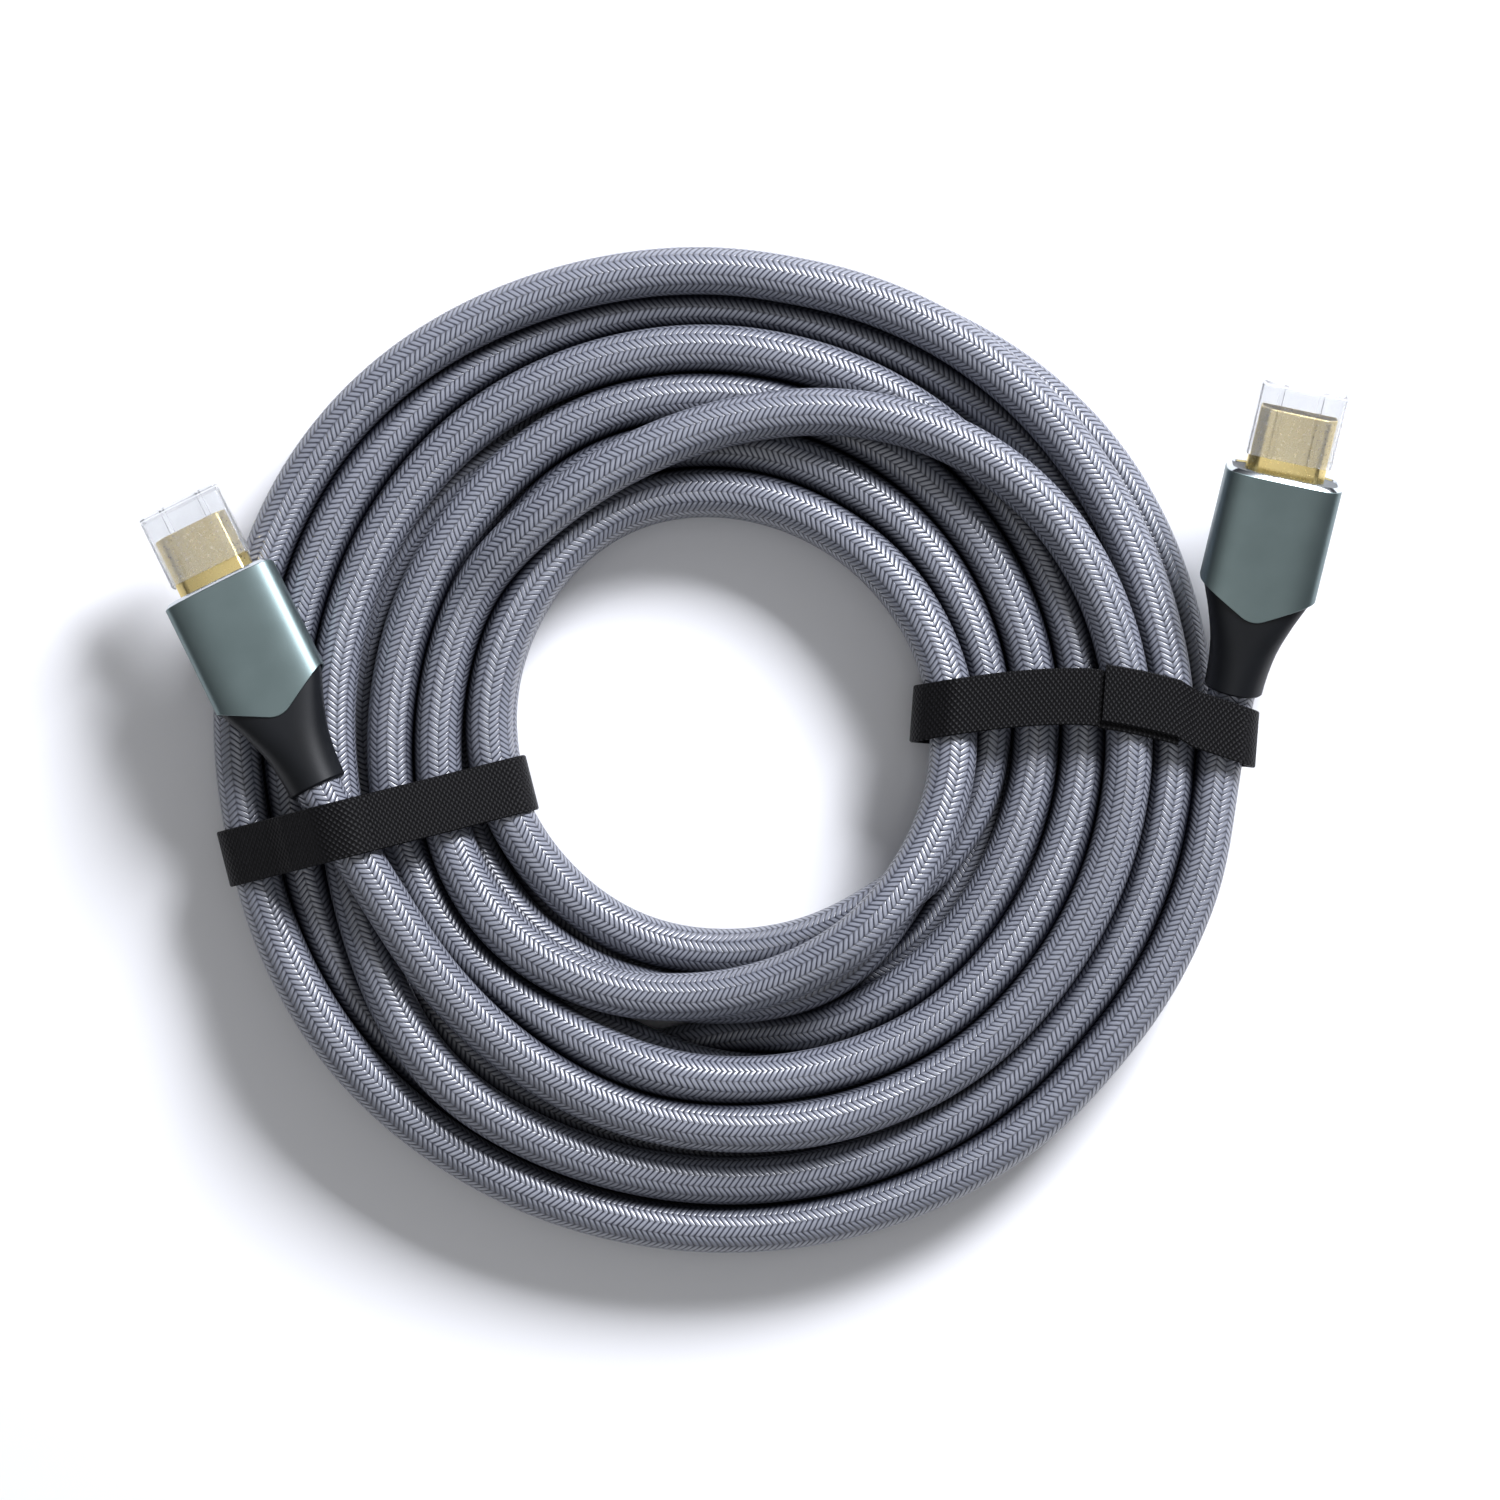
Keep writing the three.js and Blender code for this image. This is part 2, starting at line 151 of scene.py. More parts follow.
@dataclass(frozen=True)
class Finish:
    """A finish that makes one material."""

    name: str

    def material(self) -> bpy.types.Material:
        """Make the material, once for each finish.

        Returns:
            The material, new or made before.
        """
        if self in MADE:
            return MADE[self]
        made = MADE[self] = bpy.data.materials.new(self.name)
        made.use_nodes = True
        tree = made.node_tree
        tree.nodes.clear()
        shader = add_node(tree, "ShaderNodeBsdfPrincipled")
        add_node(tree, "ShaderNodeOutputMaterial", {"Surface": shader})
        self.paint(tree, shader)
        return made

    def paint(self, tree: bpy.types.NodeTree, shader: bpy.types.Node) -> None:
        """Set the shader up; each finish does this its own way.

        Args:
            tree: The material's nodes.
            shader: Its Principled shader.
        """
        raise NotImplementedError


# Polyamide yarn, woven two over and two under round the cord. The eye sees leaning stitches in
# ribs with a soft sheen, fine dark lines between them and nearly black gaps between the turns;
# the dark lines and the black gaps are painted shade.
@dataclass(frozen=True)
class NylonBraid(Finish):
    """Woven polyamide sleeve: its yarns, the lines between them and their single filaments, with
    painted shade in the lines and where turns lie close.
    """

    name: str = "braided_nylon_yarn"
    yarn: str = "#888b96"
    # The next three colours are painted shade: on the yarns' sloping sides, in the lines between
    # the yarns, and where turns lie close.
    flank_shade: str = "#4f525f"
    crevice_shade: str = "#060812"
    contact_shade: str = "#090b17"
    ribs: int = 14
    pitch_mm: float = 1.05
    lean_mm: float = 1.3
    crown_power: float = 0.55
    rib_power: float = 0.4
    rib_dip: float = 0.5
    relief_mm: float = 0.13
    # Filaments of 0.02 mm are too fine to show, so they are drawn twenty times as coarse.
    filament_mm: float = 0.4
    fuzz: float = 0.16
    roughness: float = 0.3

    def weave(self, tree: bpy.types.NodeTree) -> bpy.types.Node:
        """Work out the height of the leaning yarns from the cord's own map.

        Args:
            tree: The material's nodes.

        Returns:
            A node that gives the height, from 0 to 1.
        """
        place = add_node(tree, "ShaderNodeUVMap", uv_map=CORD_MAP)
        reach, share = add_node(tree, "ShaderNodeSeparateXYZ", [place]).outputs[:2]
        along = add_node(tree, MATH, [reach, self.pitch_mm * MM], operation="DIVIDE")
        ribs = add_node(tree, MATH, [share, float(self.ribs)], operation="MULTIPLY")
        across = add_node(tree, MATH, [ribs, 1.0], operation="PINGPONG")
        lean = add_node(tree, MATH, [across, self.lean_mm / self.pitch_mm], operation="MULTIPLY")
        phase = add_node(tree, MATH, [along, lean], operation="ADD")
        phase = add_node(tree, MATH, [phase, math.pi], operation="MULTIPLY")
        wave = add_node(tree, MATH, [phase], operation="SINE")
        crown = add_node(tree, MATH, [wave], operation="ABSOLUTE")
        crown = add_node(tree, MATH, [crown, self.crown_power], operation="POWER")
        rib = add_node(tree, MATH, [across, math.pi], operation="MULTIPLY")
        rib = add_node(tree, MATH, [rib], operation="SINE")
        rib = add_node(tree, MATH, [rib, 0.0], operation="MAXIMUM")
        rib = add_node(tree, MATH, [rib, self.rib_power], operation="POWER")
        rib = add_node(tree, MATH, [rib, self.rib_dip, 1 - self.rib_dip], operation="MULTIPLY_ADD")
        return add_node(tree, MATH, [crown, rib], operation="MULTIPLY")

    def paint(self, tree: bpy.types.NodeTree, shader: bpy.types.Node) -> None:
        """Colour and raise the yarns, with painted shade in the lines between them and painted
        shade where another turn lies close.

        Args:
            tree: The material's nodes.
            shader: Its Principled shader.
        """
        height = self.weave(tree)
        place = add_node(tree, "ShaderNodeTexCoord").outputs["Object"]
        grain = add_node(
            tree,
            "ShaderNodeTexNoise",
            {"Vector": place, "Scale": 1 / (self.filament_mm * MM), "Detail": 2.0},
        )
        fuzz = add_node(tree, MATH, [grain, self.fuzz, -self.fuzz / 2], operation="MULTIPLY_ADD")
        level = add_node(tree, MATH, [height, fuzz], operation="ADD", use_clamp=True)
        # The ramp paints shade: the lowest parts of the weave near black, the yarns' sloping sides
        # darker than their crowns.
        ramp = add_node(tree, "ShaderNodeValToRGB", [level])
        set_stops(ramp, [(0.2, self.crevice_shade), (0.52, self.flank_shade), (0.86, self.yarn)])
        bump = add_node(
            tree,
            "ShaderNodeBump",
            {"Strength": 1.0, "Distance": self.relief_mm * MM, "Height": level},
        )
        # Painted shade where another turn lies close: the colour goes near black and the specular
        # reflection fades.
        openness = add_node(tree, "ShaderNodeAttribute", attribute_name=CONTACT_SHADE).outputs["Fac"]
        colours = {0: openness, 6: linear(self.contact_shade), 7: ramp}
        shaded = add_node(tree, "ShaderNodeMix", colours, data_type="RGBA").outputs[2]
        feed(shader, {"Base Color": shaded, "Specular IOR Level": openness, "Normal": bump})
        feed(shader, {"Roughness": self.roughness})


# Black nylon tape, woven on a narrow loom. The eye sees a fine mesh of crossing ribs, nearly
# black, with a dull gleam where it bends; the grooves between the ribs are painted darker as
# shade. The real mesh is half as wide as the one drawn.
@dataclass(frozen=True)
class WovenTape(Finish):
    """Hook-and-loop tape: two sets of slanted ribs that cross, with painted shade in the grooves.
    """

    name: str = "woven_nylon_tape"
    face: str = "#100f12"
    # The groove colour is painted shade in the recesses between the ribs.
    groove_shade: str = "#030303"
    rib_mm: float = 0.9
    slant: float = 0.8
    relief_mm: float = 0.2
    roughness: float = 0.55
    specular: float = 0.16

    def paint(self, tree: bpy.types.NodeTree, shader: bpy.types.Node) -> None:
        """Draw the crossing ribs from the tape's own map, and paint shade into the grooves.

        Args:
            tree: The material's nodes.
            shader: Its Principled shader.
        """
        place = add_node(tree, "ShaderNodeUVMap", uv_map=TAPE_MAP)
        reach, across = add_node(tree, "ShaderNodeSeparateXYZ", [place]).outputs[:2]
        lean = add_node(tree, MATH, [across, self.slant], operation="MULTIPLY")
        ribs = []
        for way in ("ADD", "SUBTRACT"):
            rib = add_node(tree, MATH, [reach, lean], operation=way)
            rib = add_node(tree, MATH, [rib, math.pi / (self.rib_mm * MM)], operation="MULTIPLY")
            rib = add_node(tree, MATH, [rib], operation="SINE")
            ribs.append(add_node(tree, MATH, [rib], operation="ABSOLUTE"))
        height = add_node(tree, MATH, ribs, operation="MULTIPLY")
        ramp = add_node(tree, "ShaderNodeValToRGB", [height])
        set_stops(ramp, [(0.0, self.groove_shade), (0.75, self.face)])
        bump = add_node(
            tree,
            "ShaderNodeBump",
            {"Strength": 0.7, "Distance": self.relief_mm * MM, "Height": height},
        )
        feed(shader, {"Base Color": ramp, "Normal": bump})
        feed(shader, {"Roughness": self.roughness, "Specular IOR Level": self.specular})


@dataclass(frozen=True)
class Grained(Finish):
    """A moulded, plated or blasted surface with a fine grain in its gloss and height."""

    base: str
    shade: str
    roughness: float
    metallic: float
    grain_mm: float
    grain_depth_mm: float
    spread: float
    specular: float = 0.5
    cloud_mm: float = 8.0

    def paint(self, tree: bpy.types.NodeTree, shader: bpy.types.Node) -> None:
        """Vary colour, gloss and height a little with noise.

        Args:
            tree: The material's nodes.
            shader: Its Principled shader.
        """
        place = add_node(tree, "ShaderNodeTexCoord").outputs["Object"]
        fine = add_node(
            tree,
            "ShaderNodeTexNoise",
            {"Vector": place, "Scale": 1 / (self.grain_mm * MM), "Detail": 3.0},
        )
        broad = add_node(
            tree,
            "ShaderNodeTexNoise",
            {"Vector": place, "Scale": 1 / (self.cloud_mm * MM), "Detail": 2.0},
        )
        ramp = add_node(tree, "ShaderNodeValToRGB", [broad])
        set_stops(ramp, [(0.3, self.shade), (0.7, self.base)])
        lowest = self.roughness - self.spread / 2
        gloss = add_node(tree, MATH, [fine, self.spread, lowest], operation="MULTIPLY_ADD")
        bump = add_node(
            tree,
            "ShaderNodeBump",
            {"Strength": 0.5, "Distance": self.grain_depth_mm * MM, "Height": fine},
        )
        feed(shader, {"Base Color": ramp, "Roughness": gloss, "Normal": bump})
        feed(shader, {"Metallic": self.metallic, "Specular IOR Level": self.specular})


# Clear polyethylene, moulded thin. The eye sees through it, with bright lines along its ribs and
# a slight milkiness towards its edges.
@dataclass(frozen=True)
class ClearMoulding(Finish):
    """Clear plastic with faint flow marks."""

    name: str = "moulded_clear_polyethylene"
    tint: str = "#f4f5f6"
    flow_mm: float = 3.0
    relief_mm: float = 0.05
    roughness: float = 0.05
    ior: float = 1.2
    transmission: float = 0.88

    def paint(self, tree: bpy.types.NodeTree, shader: bpy.types.Node) -> None:
        """Make the shader a thin clear plastic; its IOR is low because the real wall is thin.

        Args:
            tree: The material's nodes.
            shader: Its Principled shader.
        """
        place = add_node(tree, "ShaderNodeTexCoord").outputs["Object"]
        flow = add_node(
            tree,
            "ShaderNodeTexNoise",
            {"Vector": place, "Scale": 1 / (self.flow_mm * MM), "Detail": 1.0},
        )
        bump = add_node(
            tree,
            "ShaderNodeBump",
            {"Strength": 0.03, "Distance": self.relief_mm * MM, "Height": flow},
        )
        feed(shader, {"Base Color": linear(self.tint), "Roughness": self.roughness})
        feed(shader, {"IOR": self.ior, "Transmission Weight": self.transmission, "Normal": bump})


CORD_MAP = "CordMap"
TAPE_MAP = "TapeMap"
# Name of the cord's attribute that sets its painted contact shade.
CONTACT_SHADE = "contact_shade"
BRAID = NylonBraid()
TAPE = WovenTape()
CLEAR = ClearMoulding()
# The next rows give base and shade, roughness, metallic, then the grain's width and depth in
# millimetres and how much it varies the gloss.
# Aluminium, bead-blasted and anodised: a satin grey-green that draws light into a soft streak.
ANODISED = Grained(
    "blasted_anodised_aluminium", "#7f8e8e", "#788787", 0.43, 1.0, 0.14, 0.02, 0.12
)
# Aluminium, cut with a diamond after anodising: a bright bare line round the housing's front.
CUT_EDGE = Grained("diamond_cut_aluminium", "#d5dadd", "#c8ced2", 0.14, 1.0, 0.4, 0.002, 0.04)
# Moulded plastic in the housing's mouth: flat grey behind the bright line.
FRONT_FACE = Grained("moulded_grey_plastic", "#5c6164", "#53585b", 0.5, 0.0, 0.2, 0.01, 0.1)
# Soft vinyl, moulded over the cord: near black, with a dull wide sheen.
SOFT_BOOT = Grained("moulded_soft_pvc", "#111317", "#0d0f12", 0.48, 0.0, 0.25, 0.02, 0.1, 0.3)
# Steel sheet with a thin gold plating: pale gold that mirrors softly.
GILT = Grained("gold_plated_steel", "#ecd798", "#e3cb88", 0.28, 1.0, 0.5, 0.004, 0.06)
# Glass-filled plastic that carries the contacts: matt black in the tip's mouth.
INSERT = Grained("moulded_black_plastic", "#15161a", "#101115", 0.5, 0.0, 0.3, 0.01, 0.1)


def add_object(name: str, data: Any) -> bpy.types.Object:
    """Put a mesh, light or camera into the scene as an object.

    Args:
        name: The object's name.
        data: What it shows.

    Returns:
        The new object.
    """
    made = bpy.data.objects.new(name, data)
    bpy.context.scene.collection.objects.link(made)
    return made


def mesh_piece(
    name: str,
    vertices: np.ndarray,
    faces: Sequence[Sequence[int]],
    finishes: Sequence[Finish],
    body: Body,
    chosen: Optional[Sequence[int]] = None,
    crease_degrees: float = 40.0,
) -> bpy.types.Object:
    """Make a mesh object in metres that rides on a body.

    Args:
        name: The piece's name.
        vertices: Points in millimetres in the row's frame.
        faces: Corner numbers of each face.
        finishes: Its finishes.
        body: The body that it rides on.
        chosen: Number of each face's finish, or none for the first.
        crease_degrees: Edges sharper than this stay sharp.

    Returns:
        The new object.
    """
    mesh = bpy.data.meshes.new(name)
    mesh.from_pydata((np.asarray(vertices) * MM).tolist(), [], [list(f) for f in faces])
    for finish in finishes:
        mesh.materials.append(finish.material())
    if chosen is not None:
        mesh.polygons.foreach_set("material_index", list(chosen))
    mesh.update()
    mesh.shade_smooth()
    mesh.set_sharp_from_angle(angle=math.radians(crease_degrees))
    made = add_object(name, mesh)
    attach(made, body.value)
    return made


def rings_to_faces(rings: int, sides: int) -> list[list[int]]:
    """List the four-cornered faces between rings of points.

    Args:
        rings: How many rings there are.
        sides: Points in each ring.

    Returns:
        Corner numbers of each face.
    """
    faces = []
    for r in range(rings - 1):
        for s in range(sides):
            a, b = r * sides + s, r * sides + (s + 1) % sides
            faces.append([a, b, b + sides, a + sides])
    return faces


def tube_faces(rings: int, sides: int) -> list[list[int]]:
    """List the faces of a closed tube: its walls, then its two ends.

    Args:
        rings: How many rings there are.
        sides: Points in each ring.

    Returns:
        Corner numbers of each face.
    """
    last = (rings - 1) * sides
    ends = [list(range(sides))[::-1], list(range(last, last + sides))]
    return rings_to_faces(rings, sides) + ends


# The cord's way round the coil, from the left plug to the right one: degrees about the coil's
# axis, radius and a first height in millimetres. The turns that show are points chosen in the
# photograph, and the hidden ones beneath are worked out. All of them then settle on each other.
TOP_TURN = [
    (200, 65.6, 26), (214, 64.3, 28), (240, 64.2, 28), (265, 66.8, 26), (290, 70.4, 24),
    (315, 72.8, 24), (345, 73.0, 24), (372, 72.3, 24), (396, 69.4, 24), (415, 65.2, 24),
    (430, 60.2, 24), (446, 55.2, 24), (462, 51.6, 24), (480, 49.4, 24), (503, 48.4, 24),
    (525, 49.1, 24), (545, 50.6, 25), (562, 52.0, 26), (585, 51.8, 26), (605, 49.4, 25),
    (622, 46.4, 23), (640, 44.6, 21),
]
INNER_TURNS = [
    (660, 42.6, 20), (690, 41.9, 20), (740, 42.4, 20), (770, 41.9, 19), (800, 43.0, 18),
    (830, 44.0, 17), (850, 43.0, 16), (870, 41.6, 14), (900, 40.9, 13), (935, 39.3, 13),
    (990, 39.0, 12), (1010, 39.7, 12), (1030, 41.6, 11), (1060, 46.9, 11.5),
    (1080, 49.6, 12), (1110, 50.5, 12), (1140, 50.3, 12), (1160, 51.0, 12), (1180, 51.3, 12),
    (1200, 50.5, 12), (1240, 48.2, 12), (1265, 47.6, 12), (1290, 49.0, 12), (1320, 47.4, 12),
    (1345, 46.4, 12), (1380, 48.6, 11), (1420, 47.0, 7), (1460, 43.6, 4.2),
]
LOWER_TURNS = [(1480 + 20 * i, 42.8 + 0.47 * i, 4.2) for i in range(89)]
OUTER_TURNS = [
    (3260, 84.6, 4.2), (3275, 85.2, 4.2), (3290, 83.8, 4.2), (3320, 83.0, 4.2),
    (3340, 83.2, 4.2), (3360, 85.2, 4.2), (3380, 86.0, 4.2), (3400, 85.6, 4.2),
    (3420, 84.5, 4.2), (3440, 81.6, 4.2), (3455, 77.0, 4.2), (3470, 70.5, 4.2),
    (3485, 64.0, 4.2), (3500, 58.6, 6), (3515, 55.8, 9), (3530, 56.0, 12),
]
UPPER_TURNS = [
    (3560, 56.2, 12), (3620, 56.6, 12), (3650, 55.9, 12), (3670, 57.6, 12), (3700, 59.4, 12),
    (3740, 58.0, 12), (3780, 56.0, 12), (3800, 57.0, 13), (3820, 59.2, 14), (3840, 61.2, 15),
    (3880, 62.1, 12), (3910, 64.2, 12), (3950, 64.8, 12), (3980, 64.8, 12), (4010, 66.4, 12),
    (4050, 68.7, 12), (4070, 69.8, 12), (4110, 73.1, 12), (4130, 74.3, 12), (4160, 73.8, 13),
    (4190, 76.4, 15), (4230, 79.0, 13), (4260, 81.2, 12), (4300, 81.8, 12), (4320, 80.7, 12),
    (4340, 80.0, 12), (4380, 80.6, 12), (4430, 81.4, 12), (4470, 82.4, 12), (4500, 83.4, 12),
    (4540, 85.6, 11), (4570, 86.9, 11), (4600, 87.4, 12), (4630, 88.2, 12), (4650, 86.9, 12),
    (4665, 86.4, 12), (4676, 87.6, 12),
]


# The coil's inner and outer edge, read from the photograph where they bend: degrees, then the two
# radii in millimetres.
COIL_EDGES = [
    (0, 37.6, 89.8), (30, 37.5, 90.3), (60, 37.8, 86.8), (80, 38.8, 85.5), (110, 39.8, 89.4),
    (120, 39.3, 90.7), (140, 38.0, 90.9), (190, 35.6, 88.7), (240, 34.0, 91.7),
    (280, 34.7, 92.3), (310, 36.9, 93.4), (340, 37.8, 90.3), (360, 37.6, 89.8),
]


PLUG_LENGTH = 40.0


@dataclass
class PlugPlace:
    """Where a plug lies: the middle of its boot's end about the coil's axis, and its heading.

    Lengths are in millimetres and angles in degrees. The rise is above the coil's top.
    """

    side: str
    x: float
    y: float
    rise: float
    heading: float
    pitch: float
    cap_body: Body

    def nose(self) -> np.ndarray:
        """Work out the way that the plug points.

        Returns:
            The unit vector from the boot to the nose.
        """
        flat, turn = math.cos(math.radians(self.pitch)), math.radians(self.heading)
        up = math.sin(math.radians(self.pitch))
        return np.array([flat * math.cos(turn), flat * math.sin(turn), up])

    def boot_end(self) -> np.ndarray:
        """Return the middle of the boot's end in the row's frame, in millimetres."""
        return np.array([COIL_AXIS[0] + self.x, COIL_AXIS[1] + self.y, COIL_HIGH[2] + self.rise])

    def to_row(self, points: np.ndarray) -> np.ndarray:
        """Take points of the plug's own frame to the row's.

        Args:
            points: Width, thickness and distance behind the front face, in millimetres.

        Returns:
            The same points in the row's frame, in millimetres.
        """
        back = -self.nose()
        wide = np.array([back[1], -back[0], 0.0])
        wide /= np.linalg.norm(wide)
        thick = np.cross(back, wide)
        front = self.boot_end() - back * PLUG_LENGTH
        return front + np.asarray(points) @ np.stack([wide, thick, back])


LEFT = PlugPlace("left", -69.6, -9.2, 7.2, heading=116.4, pitch=-3.0, cap_body=Body.LEFT_CAP)
RIGHT = PlugPlace("right", 91.1, 8.1, -2.2, heading=78.1, pitch=17.0, cap_body=Body.RIGHT_CAP)


@dataclass
class BraidedCord:
    """The whole cord, wound into a flat coil of a dozen turns that rest on each other.

    Lengths are in millimetres, and places along the cord are in degrees from the left plug.
    """

    diameter: float = 8.4
    sides: int = 24
    step: float = 2.2
    station_degrees: int = 5
    wound: tuple[float, float] = (210.0, 4666.0)
    hidden: tuple[float, float] = (1400.0, 3260.0)
    raised: tuple[float, float] = (193.0, 274.0)
    crossing_turn: tuple[float, float] = (3440.0, 3520.0)
    last_turn: float = 4640.0
    last_turn_edge: float = 90.0
    under_plug: tuple[float, float] = (145.0, 197.0)
    plug_clearance: float = 5.2
    start_height: float = 23.4
    first_turn_end: float = 300.0
    lift_share: float = 0.85
    second_rise: float = 0.8
    rounds: int = 420
    pushes: int = 5
    pull: float = 0.12
    hidden_pull: float = 0.06
    sinking: float = 0.09
    evening: float = 0.35
    push_share: float = 0.45
    slack: float = 1.004
    smoothing: int = 12
    # How far from another turn the painted contact shade reaches.
    contact_shade_reach: float = 3.1
    line: np.ndarray = field(default_factory=lambda: np.zeros((0, 3)))

    def first_guess(self) -> tuple[np.ndarray, np.ndarray, np.ndarray]:
        """Take the route's points over to stations that are evenly spaced.

        Returns:
            Degrees, wanted radius and first height of each station.
        """
        route = np.array(TOP_TURN + INNER_TURNS + LOWER_TURNS + OUTER_TURNS + UPPER_TURNS)
        degrees = np.arange(*self.wound, self.station_degrees)
        soft = np.array([1.0, 2.0, 3.0, 2.0, 1.0]) / 9
        target, height = (
            np.convolve(
                np.pad(np.interp(degrees, route[:, 0], route[:, k]), 2, "edge"), soft, "valid"
            )
            for k in (1, 2)
        )
        # One turn crosses beneath the others, so they start higher there.
        lifted = within(degrees % 360, self.raised) & ~within(degrees, self.crossing_turn)
        height = np.where(lifted, height + self.lift_share * self.diameter, height)
        # Every second hidden turn starts a little higher, so that they find two layers.
        second = within(degrees, self.hidden) & (degrees // 360 % 2 == 1)
        return degrees, target, height + np.where(second, self.second_rise, 0.0)

    def limits(self, degrees: np.ndarray) -> tuple[np.ndarray, np.ndarray, np.ndarray]:
        """Find how far the turns may go at each station.

        Args:
            degrees: The stations.

        Returns:
            The least and greatest radius, and the greatest height.
        """
        edges, here, half = np.array(COIL_EDGES), degrees % 360, self.diameter / 2
        inner = np.interp(here, edges[:, 0], edges[:, 1]) + half
        outer = np.interp(here, edges[:, 0], edges[:, 2]) - half
        outer = np.where(degrees > self.last_turn, self.last_turn_edge, outer)
        beneath = within(here, self.under_plug) & (degrees > self.first_turn_end)
        ceiling = LEFT.boot_end()[2] - self.plug_clearance - half
        return inner, outer, np.where(beneath, ceiling, np.inf)

    def push_apart(
        self, radius: np.ndarray, height: np.ndarray
    ) -> tuple[np.ndarray, np.ndarray]:
        """Move turns that overlap in one upright plane half of the way apart.

        Args:
            radius: Radius of each station.
            height: Height of each station.

        Returns:
            The new radius and height of each station.
        """
        turns, count = 360 // self.station_degrees, len(radius)
        rows = -(-count // turns)
        # The last row is filled up with places that are far from all others.
        far = 1000.0 + 50.0 * np.arange(rows * turns - count)
        r = np.concatenate([radius, far]).reshape(rows, turns)
        z = np.concatenate([height, far]).reshape(rows, turns)
        slope = np.gradient(radius, math.radians(self.station_degrees)) / radius
        lean = np.concatenate([slope, far * 0]).reshape(rows, turns)
        dr = r[:, None] - r[None]
        dz = z[:, None] - z[None]
        apart = np.hypot(dr, dz) + 1e-9
        skew = (lean[:, None] - lean[None]) * dr / apart
        need = self.diameter * self.slack * np.sqrt(1 + skew**2)
        push = np.clip(need - apart, 0, None) * self.push_share
        push[np.arange(rows), np.arange(rows)] = 0
        r = r + (push * dr / apart).sum(1)
        z = z + (push * dz / apart).sum(1)
        return r.reshape(-1)[:count], z.reshape(-1)[:count]

    def settle(self) -> tuple[np.ndarray, np.ndarray, np.ndarray]:
        """Let the turns find their places in upright planes through the coil's axis.

        In each round a turn is drawn towards its wanted radius, sinks a little, is evened out
        along its length and is pushed off its neighbours. Pull and fall grow weaker.

        Returns:
            Degrees, radius and height of each station.
        """
        degrees, target, height = self.first_guess()
        inner, outer, ceiling = self.limits(degrees)
        pull = np.where(within(degrees, self.hidden), self.hidden_pull, self.pull)
        radius, level = target.copy(), np.zeros(len(degrees))
        for turn in range(self.rounds):
            late = turn / self.rounds
            radius += pull * (1 - 0.85 * late) * (target - radius)
            height -= self.sinking * (1 - 0.7 * late)
            for values, base in ((radius, target), (height, level)) * 2:
                off = values - base
                near = (np.roll(off, 1) + np.roll(off, -1)) / 2
                near[0], near[-1] = off[0], off[-1]
                values += self.evening * (near - off)
            for _ in range(self.pushes):
                radius, height = self.push_apart(radius, height)
                radius = np.clip(radius, inner, outer)
                height = np.clip(height, self.diameter / 2, ceiling)
                height[:2] = self.start_height
        return degrees, radius, height

    def centre_line(self) -> np.ndarray:
        """Lead the cord from one boot through the settled coil to the other.

        Returns:
            Points of its centre line at equal steps, in the row's frame.
        """
        degrees, radius, height = self.settle()
        turn = np.radians(degrees)
        flat = COIL_AXIS + radius[:, None] * np.column_stack([np.cos(turn), np.sin(turn)])
        # The cord starts inside each boot and leaves it straight.
        start = [LEFT.boot_end() - LEFT.nose() * d for d in (-3.0, 0.0, 6.0)]
        end = [RIGHT.boot_end() - RIGHT.nose() * d for d in (7.5, 0.0, -3.0)]
        line = even_curve(np.concatenate([start, np.column_stack([flat, height]), end]), self.step)
        for _ in range(self.smoothing):
            line[3:-3] += (line[2:-4] + line[4:-2] - 2 * line[3:-3]) / 4
        return line

    def build(self) -> None:
        """Sweep the cord's round section along its centre line, put it on the cable's body and
        hide the CAD's cable.
        """
        self.line = self.centre_line()
        side, up = travelling_frame(self.line)
        angle = 2 * math.pi * np.arange(self.sides) / self.sides
        out = (
            side[:, None] * np.cos(angle)[None, :, None]
            + up[:, None] * np.sin(angle)[None, :, None]
        )
        points = (self.line[:, None] + out * self.diameter / 2).reshape(-1, 3)
        faces = tube_faces(len(self.line), self.sides)
        cord = mesh_piece(
            "braided_cord", points, faces, [BRAID], Body.CABLE, crease_degrees=60
        )
        reach = lengths_along(self.line) * MM
        self.map_braid(cord, reach)
        self.paint_contact_shade(cord, points)
        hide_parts("cable_coil", "cable_top_turn", "cable_right_lead")
        top = self.line[:, 2].max() + self.diameter / 2
        LOG.info("cord: %.3f m long, top at %.1f mm", reach[-1], top)

    def paint_contact_shade(self, cord: bpy.types.Object, points: np.ndarray) -> None:
        """Mark how open the surface is, from 0 where turns touch to 1 where none is near; the
        braid paints shade by it.

        Args:
            cord: The cord's object.
            points: Its points, ring after ring.
        """
        # Rings that are nearer than three diameters along the cord belong to its own bend.
        own_turn = 3 * self.diameter / self.step
        numbers, batch, gaps = np.arange(len(self.line)), 100 * self.sides, []
        for first in range(0, len(points), batch):
            part = points[first : first + batch]
            ring = np.arange(first, first + len(part)) // self.sides
            apart = (part**2).sum(1)[:, None] + (self.line**2).sum(1) - 2 * part @ self.line.T
            apart[np.abs(ring[:, None] - numbers) < own_turn] = 1e6
            gaps.append(np.sqrt(np.maximum(apart.min(1), 0)) - self.diameter / 2)
        share = np.clip(np.concatenate(gaps) / self.contact_shade_reach, 0, 1)
        layer = cord.data.attributes.new(CONTACT_SHADE, "FLOAT", "POINT")
        layer.data.foreach_set("value", (share * share * (3 - 2 * share)).astype(np.float32))

